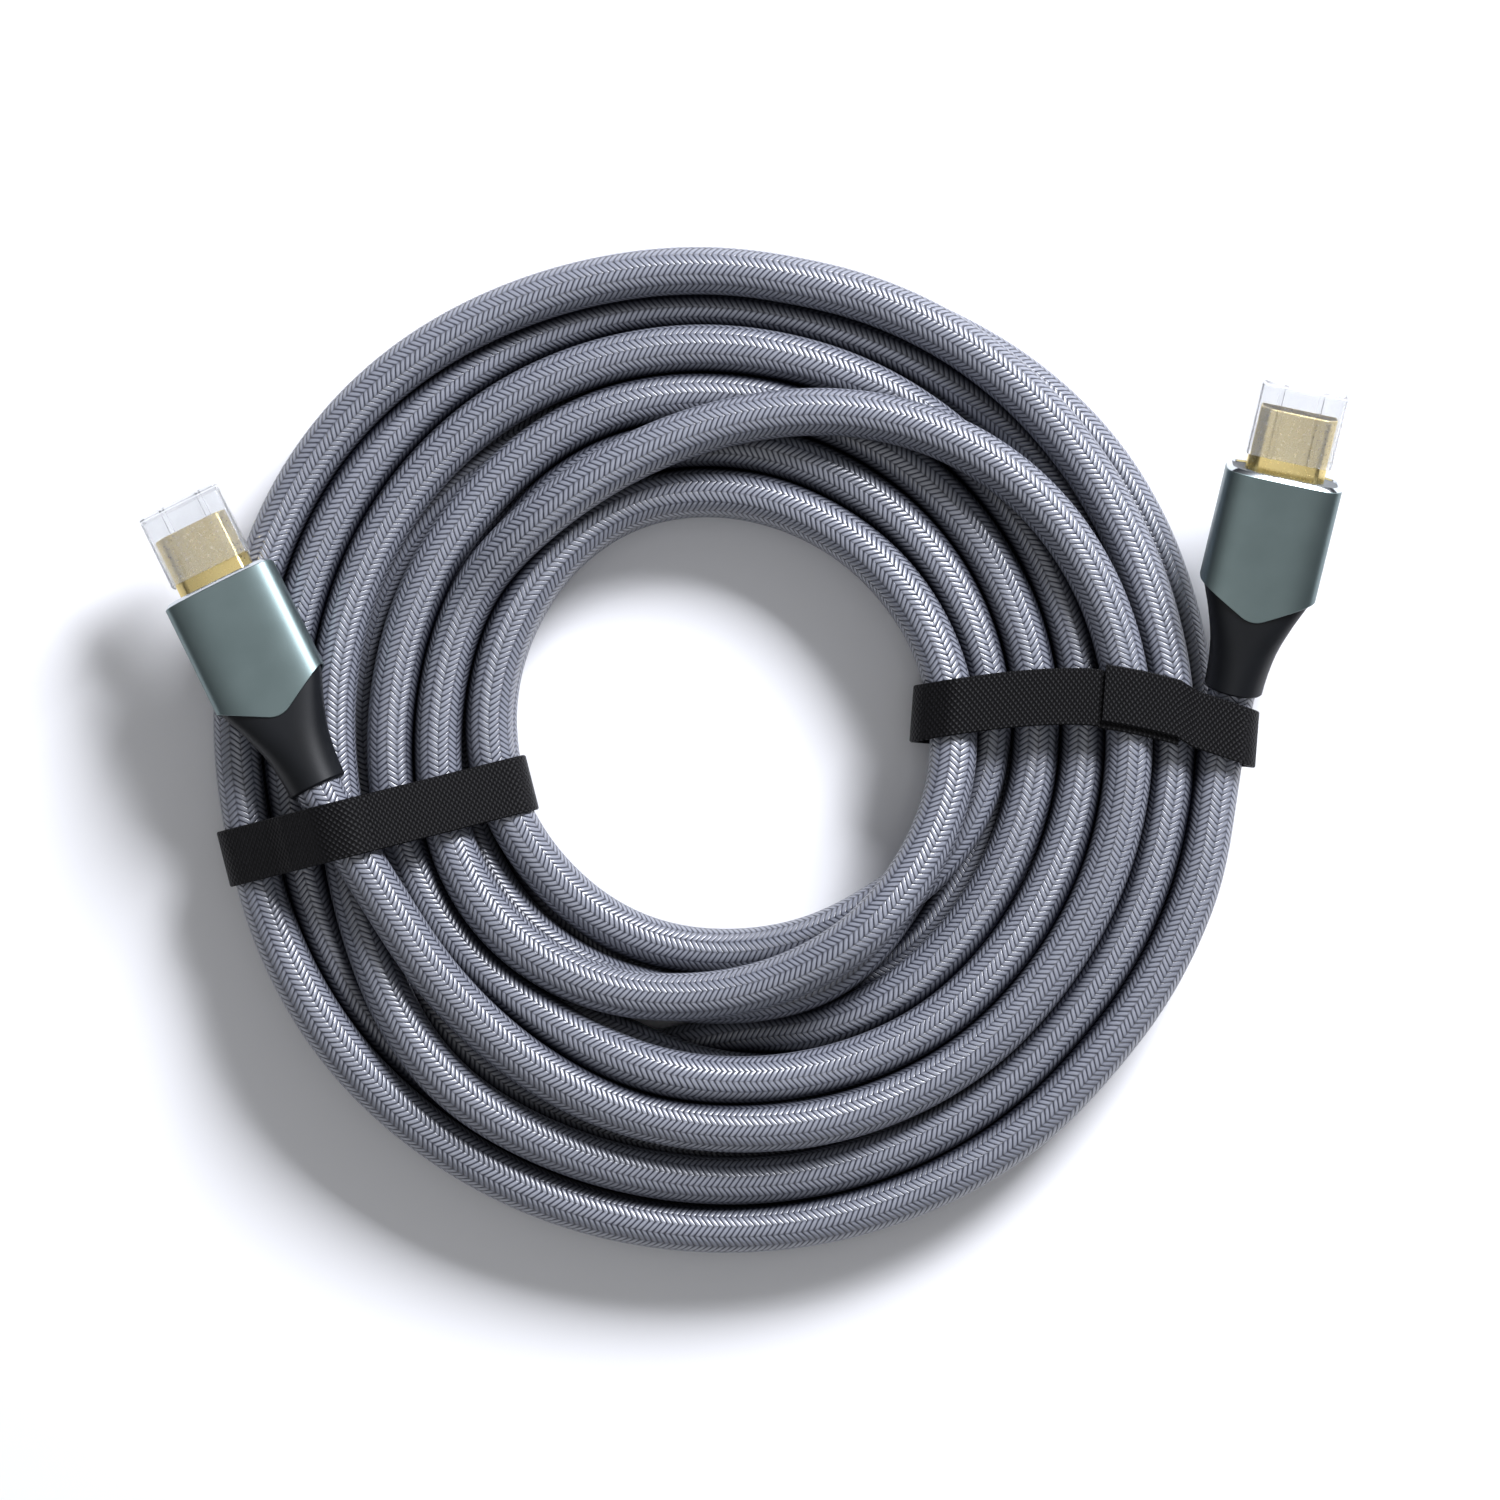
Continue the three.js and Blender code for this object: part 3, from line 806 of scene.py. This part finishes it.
    def map_braid(self, cord: bpy.types.Object, reach: np.ndarray) -> None:
        """Give each corner its metres along the cord and its share of the way round it.

        Args:
            cord: The cord's object.
            reach: Metres along the cord at each ring.
        """
        layer = cord.data.uv_layers.new(name=CORD_MAP)
        ring = np.repeat(np.arange(len(reach) - 1), self.sides)
        part = np.tile(np.arange(self.sides), len(reach) - 1)
        corners = np.zeros((len(ring), 4, 2))
        corners[:, :2, 0] = reach[ring][:, None]
        corners[:, 2:, 0] = reach[ring + 1][:, None]
        corners[:, [0, 3], 1] = (part / self.sides)[:, None]
        corners[:, [1, 2], 1] = ((part + 1) / self.sides)[:, None]
        ends = np.zeros((2 * self.sides, 2))
        spread = np.concatenate([corners.reshape(-1, 2), ends]).astype(np.float32)
        layer.uv.foreach_set("vector", spread.ravel())


def within(values: np.ndarray, span: tuple[float, float]) -> np.ndarray:
    """Return which values lie between two others."""
    return (values > span[0]) & (values < span[1])


def lengths_along(line: np.ndarray) -> np.ndarray:
    """Return the distance from the start of a broken line to each of its points."""
    return np.concatenate([[0], np.cumsum(np.linalg.norm(np.diff(line, axis=0), axis=1))])


def even_curve(points: np.ndarray, step: float) -> np.ndarray:
    """Run a smooth curve through points and cut it into equal steps.

    Args:
        points: Places that the curve passes through.
        step: Distance between the points wanted.

    Returns:
        Points along the curve.
    """
    before, after = 2 * points[:1] - points[1:2], 2 * points[-1:] - points[-2:-1]
    ghost = np.concatenate([before, points, after])
    a, b, c, d = ghost[:-3], ghost[1:-2], ghost[2:-1], ghost[3:]
    bend, twist = 2 * a - 5 * b + 4 * c - d, 3 * b - a - 3 * c + d
    parts = [
        0.5 * (2 * b + (c - a) * t + bend * t**2 + twist * t**3)
        for t in np.linspace(0, 1, 8, endpoint=False)
    ]
    curve = np.concatenate([np.stack(parts, 1).reshape(-1, 3), points[-1:]])
    return resample(curve, step)


def resample(line: np.ndarray, step: float) -> np.ndarray:
    """Cut a broken line into equal steps.

    Args:
        line: Its corners.
        step: Distance wanted.

    Returns:
        Points along it.
    """
    reach = lengths_along(line)
    at = np.linspace(0, reach[-1], int(round(reach[-1] / step)) + 1)
    return np.stack([np.interp(at, reach, line[:, k]) for k in range(line.shape[1])], 1)


def travelling_frame(line: np.ndarray) -> tuple[np.ndarray, np.ndarray]:
    """Carry two crosswise directions along a line with the least twist.

    Args:
        line: Points along the line.

    Returns:
        The first and second crosswise direction at each point.
    """
    ahead = np.gradient(line, axis=0)
    ahead /= np.linalg.norm(ahead, axis=1, keepdims=True)
    side = np.zeros_like(line)
    side[0] = np.cross(ahead[0], [0, 0, 1.0])
    side[0] /= np.linalg.norm(side[0])
    for i in range(1, len(line)):
        kept = side[i - 1] - ahead[i] * np.dot(side[i - 1], ahead[i])
        side[i] = kept / np.linalg.norm(kept)
    return side, np.cross(ahead, side)


def rounded_section(width: float, height: float, power: float, count: int) -> np.ndarray:
    """Return points round a squarish oval.

    Args:
        width: Full width.
        height: Full height.
        power: 2 for an ellipse, larger for squarer.
        count: How many points.

    Returns:
        One row of x and y for each point.
    """
    angle = 2 * math.pi * (np.arange(count) + 0.5) / count
    x, y = np.cos(angle), np.sin(angle)
    scale = (np.abs(x) ** power + np.abs(y) ** power) ** (-1 / power)
    return np.stack([x * scale * width / 2, y * scale * height / 2], 1)


@dataclass
class Plug:
    """One end of the cable: housing, boot, metal tip, contact insert and dust cap."""

    place: PlugPlace
    shell_width: float = 20.6
    shell_thickness: float = 10.4
    squareness: float = 4.2
    side_length: float = 21.0
    centre_length: float = 26.2
    point_round: float = 4.4
    boot_diameter: float = 10.4
    boot_tuck: float = 1.2
    boot_sink: float = 0.9
    tip_width: float = 13.9
    tip_height: float = 4.45
    tip_reach: float = 11.1
    tip_seat: float = 0.4
    tip_wall: float = 0.35
    tip_bevel: float = 1.7
    tip_corner: float = 0.5
    insert_depth: float = 1.0
    insert_play: float = 0.12
    slot_shares: tuple[float, float] = (0.82, 0.36)
    cap_rim: float = -2.6
    cap_nose: float = -15.9
    cap_play: float = 0.2
    cap_wall: float = 0.35
    cap_corner: float = 0.9
    cap_rib_place: float = 3.5
    cap_rib_height: float = 0.25
    cap_rib_foot: float = 0.5
    cap_rib_crest: float = 0.38
    count: int = 120
    # The rings at the housing's front: distance behind its face, and how much narrower they are.
    mouth: tuple[tuple[float, float], ...] = (
        (0.35, 3.0), (0.35, 2.1), (0.05, 1.9), (0.0, 1.5), (0.62, 0.12), (0.72, 0.0),
    )
    # The rings at its pointed rear edge: distance in front of the edge, and how much narrower.
    tail: tuple[tuple[float, float], ...] = ((0.12, 0.0), (0.0, 0.2), (0.1, 0.7), (1.5, 0.9))
    # The boot's hollow curve: shares of its length, and of its way from the housing to the cord.
    waist: tuple[tuple[float, float], ...] = (
        (0.0, 0.0), (0.05, 0.03), (0.12, 0.13), (0.25, 0.36), (0.33, 0.49), (0.42, 0.62),
        (0.5, 0.73), (0.6, 0.84), (0.7, 0.91), (0.8, 0.96), (0.9, 0.99),
    )
    # The rings at the boot's end: distance in front of the end, and how much narrower.
    lip: tuple[tuple[float, float], ...] = ((0.35, 0.0), (0.0, 0.7), (0.02, 1.9))

    def rear_edge(self, x: np.ndarray) -> np.ndarray:
        """Return how far back the housing reaches at a place across it.

        Args:
            x: Places across the housing.

        Returns:
            Distance behind the front face at each.
        """
        half, soft = self.shell_width / 2, self.point_round / 2
        slope = (self.centre_length - self.side_length) / (half - soft / 2)
        apex = self.side_length + slope * half
        x = np.abs(x)
        bend = apex - slope * soft + slope * (soft**2 - x**2) / (2 * soft)
        return np.where(x < soft, bend, apex - slope * x)

    def ring(self, z: Any, width: float, height: float, power: float) -> np.ndarray:
        """Return one ring of the housing or boot.

        Args:
            z: Distance behind the front face, one number or one for each point.
            width: Width of the ring.
            height: Height of the ring.
            power: Its squareness.

        Returns:
            Points in the plug's own frame.
        """
        flat = rounded_section(width, height, power, self.count)
        return np.column_stack([flat, np.broadcast_to(z, len(flat))])

    def add_piece(
        self,
        names: tuple[str, str],
        points: np.ndarray,
        faces: Sequence[Sequence[int]],
        finishes: Sequence[Finish],
        slot: Slot,
        chosen: Optional[Sequence[int]] = None,
        crease_degrees: float = 30.0,
    ) -> None:
        """Make a piece of the plug in the place of one of the CAD's solids.

        Args:
            names: The piece's name and the solid's, without the side.
            points: Its points in the plug's own frame, in millimetres.
            faces: Corner numbers of each face.
            finishes: Its finishes.
            slot: The record's finish of the piece, which only chooses the body that it rides on.
            chosen: Number of each face's finish, or none for the first.
            crease_degrees: Edges sharper than this stay sharp.
        """
        name, solid = (f"{self.place.side}_{word}" for word in names)
        body = self.place.cap_body if slot is Slot.CAP else Body.CABLE
        where = self.place.to_row(points)
        piece = mesh_piece(name, where, faces, finishes, body, chosen, crease_degrees)
        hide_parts(solid)

    def build_shell(self) -> None:
        """Build the housing with its cut front edge, recessed face and pointed rear edge."""
        w, h, p = self.shell_width, self.shell_thickness, self.squareness
        rings = [self.ring(z, w - less, h - less, p) for z, less in self.mouth]
        front = self.mouth[-1][0]
        edge = self.rear_edge(rings[-1][:, 0])
        for share in (0.2, 0.4, 0.6, 0.8, 0.93):
            rings.append(self.ring(front + (edge - front) * share, w, h, p))
        rings += [self.ring(edge - back, w - less, h - less, p) for back, less in self.tail]
        body, bright, face = range(3)
        kinds = [face, bright, bright, bright] + [body] * (len(rings) - 5)
        self.add_piece(
            ("plug_housing", "shell"),
            np.concatenate(rings),
            tube_faces(len(rings), self.count),
            [ANODISED, CUT_EDGE, FRONT_FACE],
            Slot.SHELL,
            chosen=[kind for kind in kinds for _ in range(self.count)] + [face, body],
            crease_degrees=25,
        )

    def build_boot(self) -> None:
        """Build the tapered strain relief, which starts inside the housing."""
        start, d = self.side_length - self.boot_tuck, self.boot_diameter
        wide, high = self.shell_width - self.boot_sink, self.shell_thickness - self.boot_sink
        rings = [
            self.ring(
                start + (PLUG_LENGTH - start) * along,
                wide + (d - wide) * narrowed,
                high + (d - high) * narrowed,
                self.squareness + (2 - self.squareness) * narrowed,
            )
            for along, narrowed in self.waist
        ]
        rings += [self.ring(PLUG_LENGTH - z, d - less, d - less, 2) for z, less in self.lip]
        points, faces = np.concatenate(rings), tube_faces(len(rings), self.count)
        names = ("plug_boot", "boot")
        self.add_piece(names, points, faces, [SOFT_BOOT], Slot.BOOT, crease_degrees=40)

    def tip_outline(self, inset: float) -> np.ndarray:
        """Return the tip's outline, square above and bevelled below, with rounded corners.

        Args:
            inset: Distance in from the outside.

        Returns:
            Points going round it.
        """
        half, top = self.tip_width / 2 - inset, self.tip_height / 2 - inset
        bevel = self.tip_bevel - 0.4 * inset
        upper = [(half, top), (-half, top), (-half, bevel - top)]
        lower = [(bevel - half, -top), (half - bevel, -top), (half, bevel - top)]
        corners = np.array(upper + lower)
        soft = max(self.tip_corner - inset * 0.6, 0.15)
        points = []
        for i, corner in enumerate(corners):
            before, after = corners[i - 1], corners[(i + 1) % 6]
            a = corner + (before - corner) / np.linalg.norm(before - corner) * soft
            b = corner + (after - corner) / np.linalg.norm(after - corner) * soft
            for t in np.linspace(0, 1, 6):
                points.append((1 - t) ** 2 * a + 2 * t * (1 - t) * corner + t**2 * b)
        return np.array(points)[::-1]

    def sleeve(
        self, stations: Sequence[tuple[float, np.ndarray]], closed: bool
    ) -> tuple[np.ndarray, list[list[int]]]:
        """Join outlines at several depths into one skin.

        Args:
            stations: Distance behind the front face and outline of each ring.
            closed: Join the last ring back to the first.

        Returns:
            Points in the plug's own frame and faces.
        """
        count = len(stations[0][1])
        points = np.concatenate(
            [np.column_stack([line, np.full(len(line), z)]) for z, line in stations]
        )
        faces = rings_to_faces(len(stations), count)
        if closed:
            last = (len(stations) - 1) * count
            for s in range(count):
                t = (s + 1) % count
                faces.append([last + s, last + t, t, s])
        return points, faces

    def build_tip(self) -> None:
        """Build the gilt sleeve of the tip and the black insert in it."""
        front, mouth = -self.tip_reach, self.insert_depth - self.tip_reach
        out, soft, inn = (self.tip_outline(inset) for inset in (0, 0.1, self.tip_wall))
        walls = [
            (-0.5, inn), (mouth, inn), (front, inn), (front, soft), (front + 0.15, out),
            (self.tip_seat, out), (self.tip_seat, inn),
        ]
        points, faces = self.sleeve(walls, True)
        self.add_piece(("metal_tip", "plug_tip"), points, faces, [GILT], Slot.TIP)
        plate = self.tip_outline(self.tip_wall + self.insert_play)
        slot = plate * self.slot_shares
        walls = [(-0.4, slot), (mouth, slot), (mouth, plate), (0.3, plate), (0.3, slot)]
        points, faces = self.sleeve(walls, True)
        self.add_piece(("insert", "contact_insert"), points, faces, [INSERT], Slot.INSERT)

    def build_cap(self) -> None:
        """Build the clear dust cap with two long ribs on each face."""
        tucked = self.cap_outline(self.cap_play + 0.05, False)
        inner = self.cap_outline(self.cap_play, False)
        outer = self.cap_outline(self.cap_play + self.cap_wall, True)
        stations = [
            (self.cap_nose, tucked), (self.cap_nose + 0.4, outer), (self.cap_rim, outer),
            (self.cap_rim, inner), (self.cap_nose + 0.8, inner),
        ]
        points, _ = self.sleeve(stations, False)
        faces = tube_faces(len(stations), len(outer))
        self.add_piece(("clear_cap", "dust_cap"), points, faces, [CLEAR], Slot.CAP)

    def cap_outline(self, beyond: float, ribbed: bool) -> np.ndarray:
        """Return the cap's outline, a rounded rectangle with or without ribs.

        Args:
            beyond: How far it stands outside the tip's size.
            ribbed: Whether the ribs are raised.

        Returns:
            Points going round it, as many with ribs as without.
        """
        x, y = self.tip_width / 2 + beyond, self.tip_height / 2 + beyond
        lift = self.cap_rib_height if ribbed else 0.0
        soft = self.cap_corner
        bends = [math.pi / 2 * share for share in (0.0, 0.25, 0.5, 0.75, 1.0)]
        quarter = [(x - soft * (1 - math.sin(a)), y - soft * (1 - math.cos(a))) for a in bends]
        half = quarter[::-1]
        for middle in (self.cap_rib_place, -self.cap_rib_place):
            foot, crest = self.cap_rib_foot, self.cap_rib_crest
            half += [(middle + foot, y), (middle + crest, y + lift)]
            half += [(middle - crest, y + lift), (middle - foot, y)]
        half += [(-a, b) for a, b in quarter]
        return np.array(half + [(-a, -b) for a, b in half])

    def build(self) -> None:
        """Build every piece of the plug."""
        self.build_shell()
        self.build_boot()
        self.build_tip()
        self.build_cap()
        LOG.info("%s plug: housing, boot, tip, insert and cap", self.place.side)


@dataclass
class Tie:
    """A hook-and-loop tie: one strip wound round the bundle, its end lapped on top.

    Lengths are in millimetres, and the angle is in degrees about the coil's axis.
    """

    side: str
    angle: float
    offset: float
    bend: float
    lap_at: float
    lap_length: float
    lap_aside: float
    width: float = 10.0
    thickness: float = 0.95
    soft_edge: float = 0.22
    gap: float = 0.12
    step: float = 0.7
    top_from: float = 9.0
    floor_play: float = 0.05
    lap_play: float = 0.08
    lap_slope: int = 5
    bulge: float = 1.6

    def bundle(self, cord: BraidedCord) -> np.ndarray:
        """Return the outline of what the tie goes round.

        Args:
            cord: The cord in its coil.

        Returns:
            Corner points, distance along the tie and height, going round.
        """
        along = np.array([math.cos(math.radians(self.angle)), math.sin(math.radians(self.angle))])
        across = np.array([-along[1], along[0]])
        flat = cord.line[:, :2] - COIL_AXIS
        out, aside = flat @ along, flat @ across - self.offset
        reach = self.width / 2 + abs(self.bend) * 0.6
        near = (out > 0) & (np.abs(aside) < reach)
        round_cord = np.radians(np.arange(0, 360, 12))
        radius = cord.diameter / 2 + self.gap
        points = []
        for x, y, z in zip(out[near], aside[near], cord.line[near, 2]):
            points += [(x + radius * math.cos(a), z + radius * math.sin(a)) for a in round_cord]
        made = np.array(points)
        made[:, 1] = np.maximum(made[:, 1], self.thickness + self.floor_play)
        return hull(made)

    def lateral(self, x: np.ndarray, top: np.ndarray, low: float, wide: float) -> np.ndarray:
        """Return the tie's shift to one side at places along it.

        Args:
            x: Distance along the tie from the coil's axis.
            top: How far each place is on the top, from 0 to 1.
            low: Where the bundle starts.
            wide: How wide the bundle is.

        Returns:
            The shift at each place.
        """
        middle = low + wide / 2
        share = np.clip(1 - (np.abs(x - middle) / (wide / 2)) ** self.bulge, 0, 1)
        return self.offset + self.bend * share * top

    def strip(self, outline: np.ndarray) -> tuple[np.ndarray, np.ndarray, np.ndarray]:
        """Return the strip's way round the bundle, from the free end of its lap.

        Args:
            outline: The bundle's outline.

        Returns:
            Points along the strip, how far each is lifted by the layer beneath, from 0 to 1,
            and whether it lies under the lap.
        """
        ring = resample(np.concatenate([outline, outline[:1]]), self.step)[:-1]
        away = np.where(ring[:, 1] > self.top_from, np.abs(ring[:, 0] - self.lap_at), np.inf)
        ring = np.roll(ring, -np.argmin(away), axis=0)[::-1]
        lap, slope = int(self.lap_length / self.step), self.lap_slope
        path = np.concatenate([ring, ring[: lap + 1]])
        number = np.arange(len(path))
        return path, np.clip((lap - 1 + slope - number) / slope, 0, 1), number >= len(ring)

    def outward(self, path: np.ndarray, middle: np.ndarray) -> np.ndarray:
        """Return the direction away from the bundle at each point of the strip.

        Args:
            path: Points along the strip.
            middle: A point inside the bundle.

        Returns:
            One unit vector for each point.
        """
        ahead = np.gradient(path, axis=0)
        ahead /= np.linalg.norm(ahead, axis=1, keepdims=True) + 1e-9
        normal = np.stack([-ahead[:, 1], ahead[:, 0]], 1)
        normal *= np.sign(((path - middle) * normal).sum(1))[:, None]
        for k in range(2):
            normal[:, k] = np.convolve(np.pad(normal[:, k], 2, "edge"), np.ones(5) / 5, "valid")
        return normal / np.linalg.norm(normal, axis=1, keepdims=True)

    def section(self) -> np.ndarray:
        """Outline the strip's cross-section, with softened corners.

        Returns:
            Places across the strip and heights off the bundle.
        """
        half, t, soft = self.width / 2, self.thickness, self.soft_edge
        left = [(-half + soft, 0.0), (-half, soft), (-half, t - soft), (-half + soft, t)]
        top = [(-half / 2, t), (0.0, t), (half / 2, t)]
        right = [(-y, out) for y, out in left[::-1]]
        return np.array(left + top + right + [(0.0, 0.0)])

    def build(self, cord: BraidedCord) -> None:
        """Wind the strip round the bundle.

        Args:
            cord: The cord in its coil.
        """
        outline = self.bundle(cord)
        low, wide = outline[:, 0].min(), np.ptp(outline[:, 0])
        path, lifted, beneath = self.strip(outline)
        normal = self.outward(path, np.array([low + wide / 2, self.top_from]))
        # How far each place is on the top: 0 up to a height of 8 mm and 1 from 16 mm.
        top = np.clip(path[:, 1] / 8 - 1, 0, 1)
        aside = self.lateral(path[:, 0], top, low, wide) + self.lap_aside * lifted * top
        # The layer under the lap lies a little to the other side.
        aside = np.where(beneath, aside - 0.3 * self.lap_aside, aside)
        base = path + normal * (lifted * (self.thickness + self.lap_play))[:, None]
        section = self.section()
        around = base[:, None] + normal[:, None] * section[None, :, 1:]
        x, z, y = around[..., 0], around[..., 1], aside[:, None] + section[:, 0]
        cosine, sine = math.cos(math.radians(self.angle)), math.sin(math.radians(self.angle))
        flat = [COIL_AXIS[0] + x * cosine - y * sine, COIL_AXIS[1] + x * sine + y * cosine]
        tape = mesh_piece(
            f"{self.side}_tape",
            np.stack(flat + [z], -1).reshape(-1, 3),
            tube_faces(len(path), len(section)),
            [TAPE],
            Body.CABLE,
        )
        reach = np.broadcast_to(lengths_along(path)[:, None], x.shape)
        across = np.broadcast_to(section[:, 0] + self.width / 2, x.shape)
        spread = np.stack([reach, across], -1).reshape(-1, 2) * MM
        corner = np.zeros(len(tape.data.loops), dtype=np.int32)
        tape.data.loops.foreach_get("vertex_index", corner)
        layer = tape.data.uv_layers.new(name=TAPE_MAP)
        layer.uv.foreach_set("vector", spread.astype(np.float32)[corner].ravel())
        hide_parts(f"{self.side}_tie")
        LOG.info("%s tie: %d steps, top at %.1f mm", self.side, len(path), z.max())


def hull(points: np.ndarray) -> np.ndarray:
    """Return the corners of the smallest outline with no hollow round some points.

    Args:
        points: One row of two numbers for each point.

    Returns:
        The corners, going round.
    """
    ordered = points[np.lexsort((points[:, 1], points[:, 0]))]

    def half(rows: np.ndarray) -> list[np.ndarray]:
        """Return one half of the outline.

        Args:
            rows: The points in order of their first number.

        Returns:
            Its corners without the last.
        """
        chain: list[np.ndarray] = []
        for p in rows:
            while len(chain) > 1:
                a, b = chain[-2], chain[-1]
                if (b[0] - a[0]) * (p[1] - a[1]) - (b[1] - a[1]) * (p[0] - a[0]) > 1e-9:
                    break
                chain.pop()
            chain.append(p)
        return chain[:-1]

    return np.array(half(ordered) + half(ordered[::-1]))


@dataclass(frozen=True)
class SoftLight:
    """A soft square light that faces the coil: place and width in metres, power in watts."""

    name: str
    place: tuple[float, float, float]
    size: float
    watts: float
    tint: str = "#ffffff"

    def add(self) -> None:
        """Put the light into the scene."""
        data = bpy.data.lights.new(self.name, "AREA")
        data.size = self.size
        data.energy = self.watts
        data.color = linear(self.tint)[:3]
        light = add_object(self.name, data)
        light.location = self.place
        light.rotation_euler = (-Vector(self.place)).to_track_quat("-Z", "Y").to_euler()


@dataclass
class Studio:
    """Camera, pale floor and soft light; lengths are in metres."""

    look_at: tuple[float, float] = (0.0016, -0.0004)
    camera_height: float = 0.85
    view_width: float = 0.2655
    view_level: float = 0.012
    sensor_mm: float = 36.0
    floor_half: float = 3.0
    floor: str = "#f4f4f6"
    floor_roughness: float = 0.9
    sky_low: str = "#4a4d58"
    sky_high: str = "#f4f6fa"
    sky_strength: float = 0.3
    lights: tuple[SoftLight, ...] = (
        SoftLight("key", (0.6, 0.92, 0.85), 0.5, 36, "#f6f8ff"),
        SoftLight("overhead", (0.0, 0.1, 1.8), 0.7, 1.6),
        SoftLight("front", (-0.15, -0.65, 0.95), 0.6, 1.1),
    )

    def add_camera(self) -> None:
        """Put the camera straight above the coil."""
        data = bpy.data.cameras.new("camera")
        data.sensor_width = self.sensor_mm
        data.lens = self.sensor_mm * (self.camera_height - self.view_level) / self.view_width
        data.clip_start, data.clip_end = 0.01, 20
        camera = add_object("camera", data)
        camera.matrix_world = Matrix.Translation((*self.look_at, self.camera_height))
        bpy.context.scene.camera = camera

    def add_floor(self) -> None:
        """Lay a plain pale floor under the cable."""
        mesh, half = bpy.data.meshes.new("floor"), self.floor_half
        corners = [(-half, -half, 0), (half, -half, 0), (half, half, 0), (-half, half, 0)]
        mesh.from_pydata(corners, [], [(0, 1, 2, 3)])
        material = bpy.data.materials.new("pale_floor")
        material.use_nodes = True
        shader = material.node_tree.nodes["Principled BSDF"]
        feed(shader, {"Base Color": linear(self.floor), "Roughness": self.floor_roughness})
        mesh.materials.append(material)
        add_object("floor", mesh)

    def add_sky(self) -> None:
        """Surround the scene with a pale sky that is darker low down, for the metal to mirror."""
        world = bpy.data.worlds.new("world")
        world.use_nodes = True
        bpy.context.scene.world = world
        tree = world.node_tree
        place = add_node(tree, "ShaderNodeTexCoord").outputs["Generated"]
        height = add_node(tree, "ShaderNodeSeparateXYZ", [place]).outputs[2]
        sky = add_node(tree, "ShaderNodeValToRGB", [height])
        set_stops(sky, [(0.15, self.sky_low), (0.75, self.sky_high)])
        feed(tree.nodes["Background"], {"Color": sky, "Strength": self.sky_strength})

    def build(self) -> None:
        """Set up the camera, the floor and the light."""
        self.add_camera()
        self.add_floor()
        for light in self.lights:
            light.add()
        self.add_sky()
        bpy.context.scene.view_settings.view_transform = "Standard"
        LOG.info("studio: camera, floor, %d lights and sky", len(self.lights))


def main() -> None:
    """Build the camera, the plugs, the cord and the ties in order."""
    logging.basicConfig(level=logging.INFO, format="%(name)s: %(message)s")
    Studio().build()
    for place in (LEFT, RIGHT):
        Plug(place).build()
    cord = BraidedCord()
    cord.build()
    ties = (
        Tie("left", 194.2, offset=0.0, bend=0.0, lap_at=62.0, lap_length=16.0, lap_aside=0.0),
        Tie("right", -4.3, offset=6.3, bend=5.2, lap_at=66.0, lap_length=14.0, lap_aside=1.0),
    )
    for tie in ties:
        tie.build(cord)


if __name__ == "__main__":
    main()
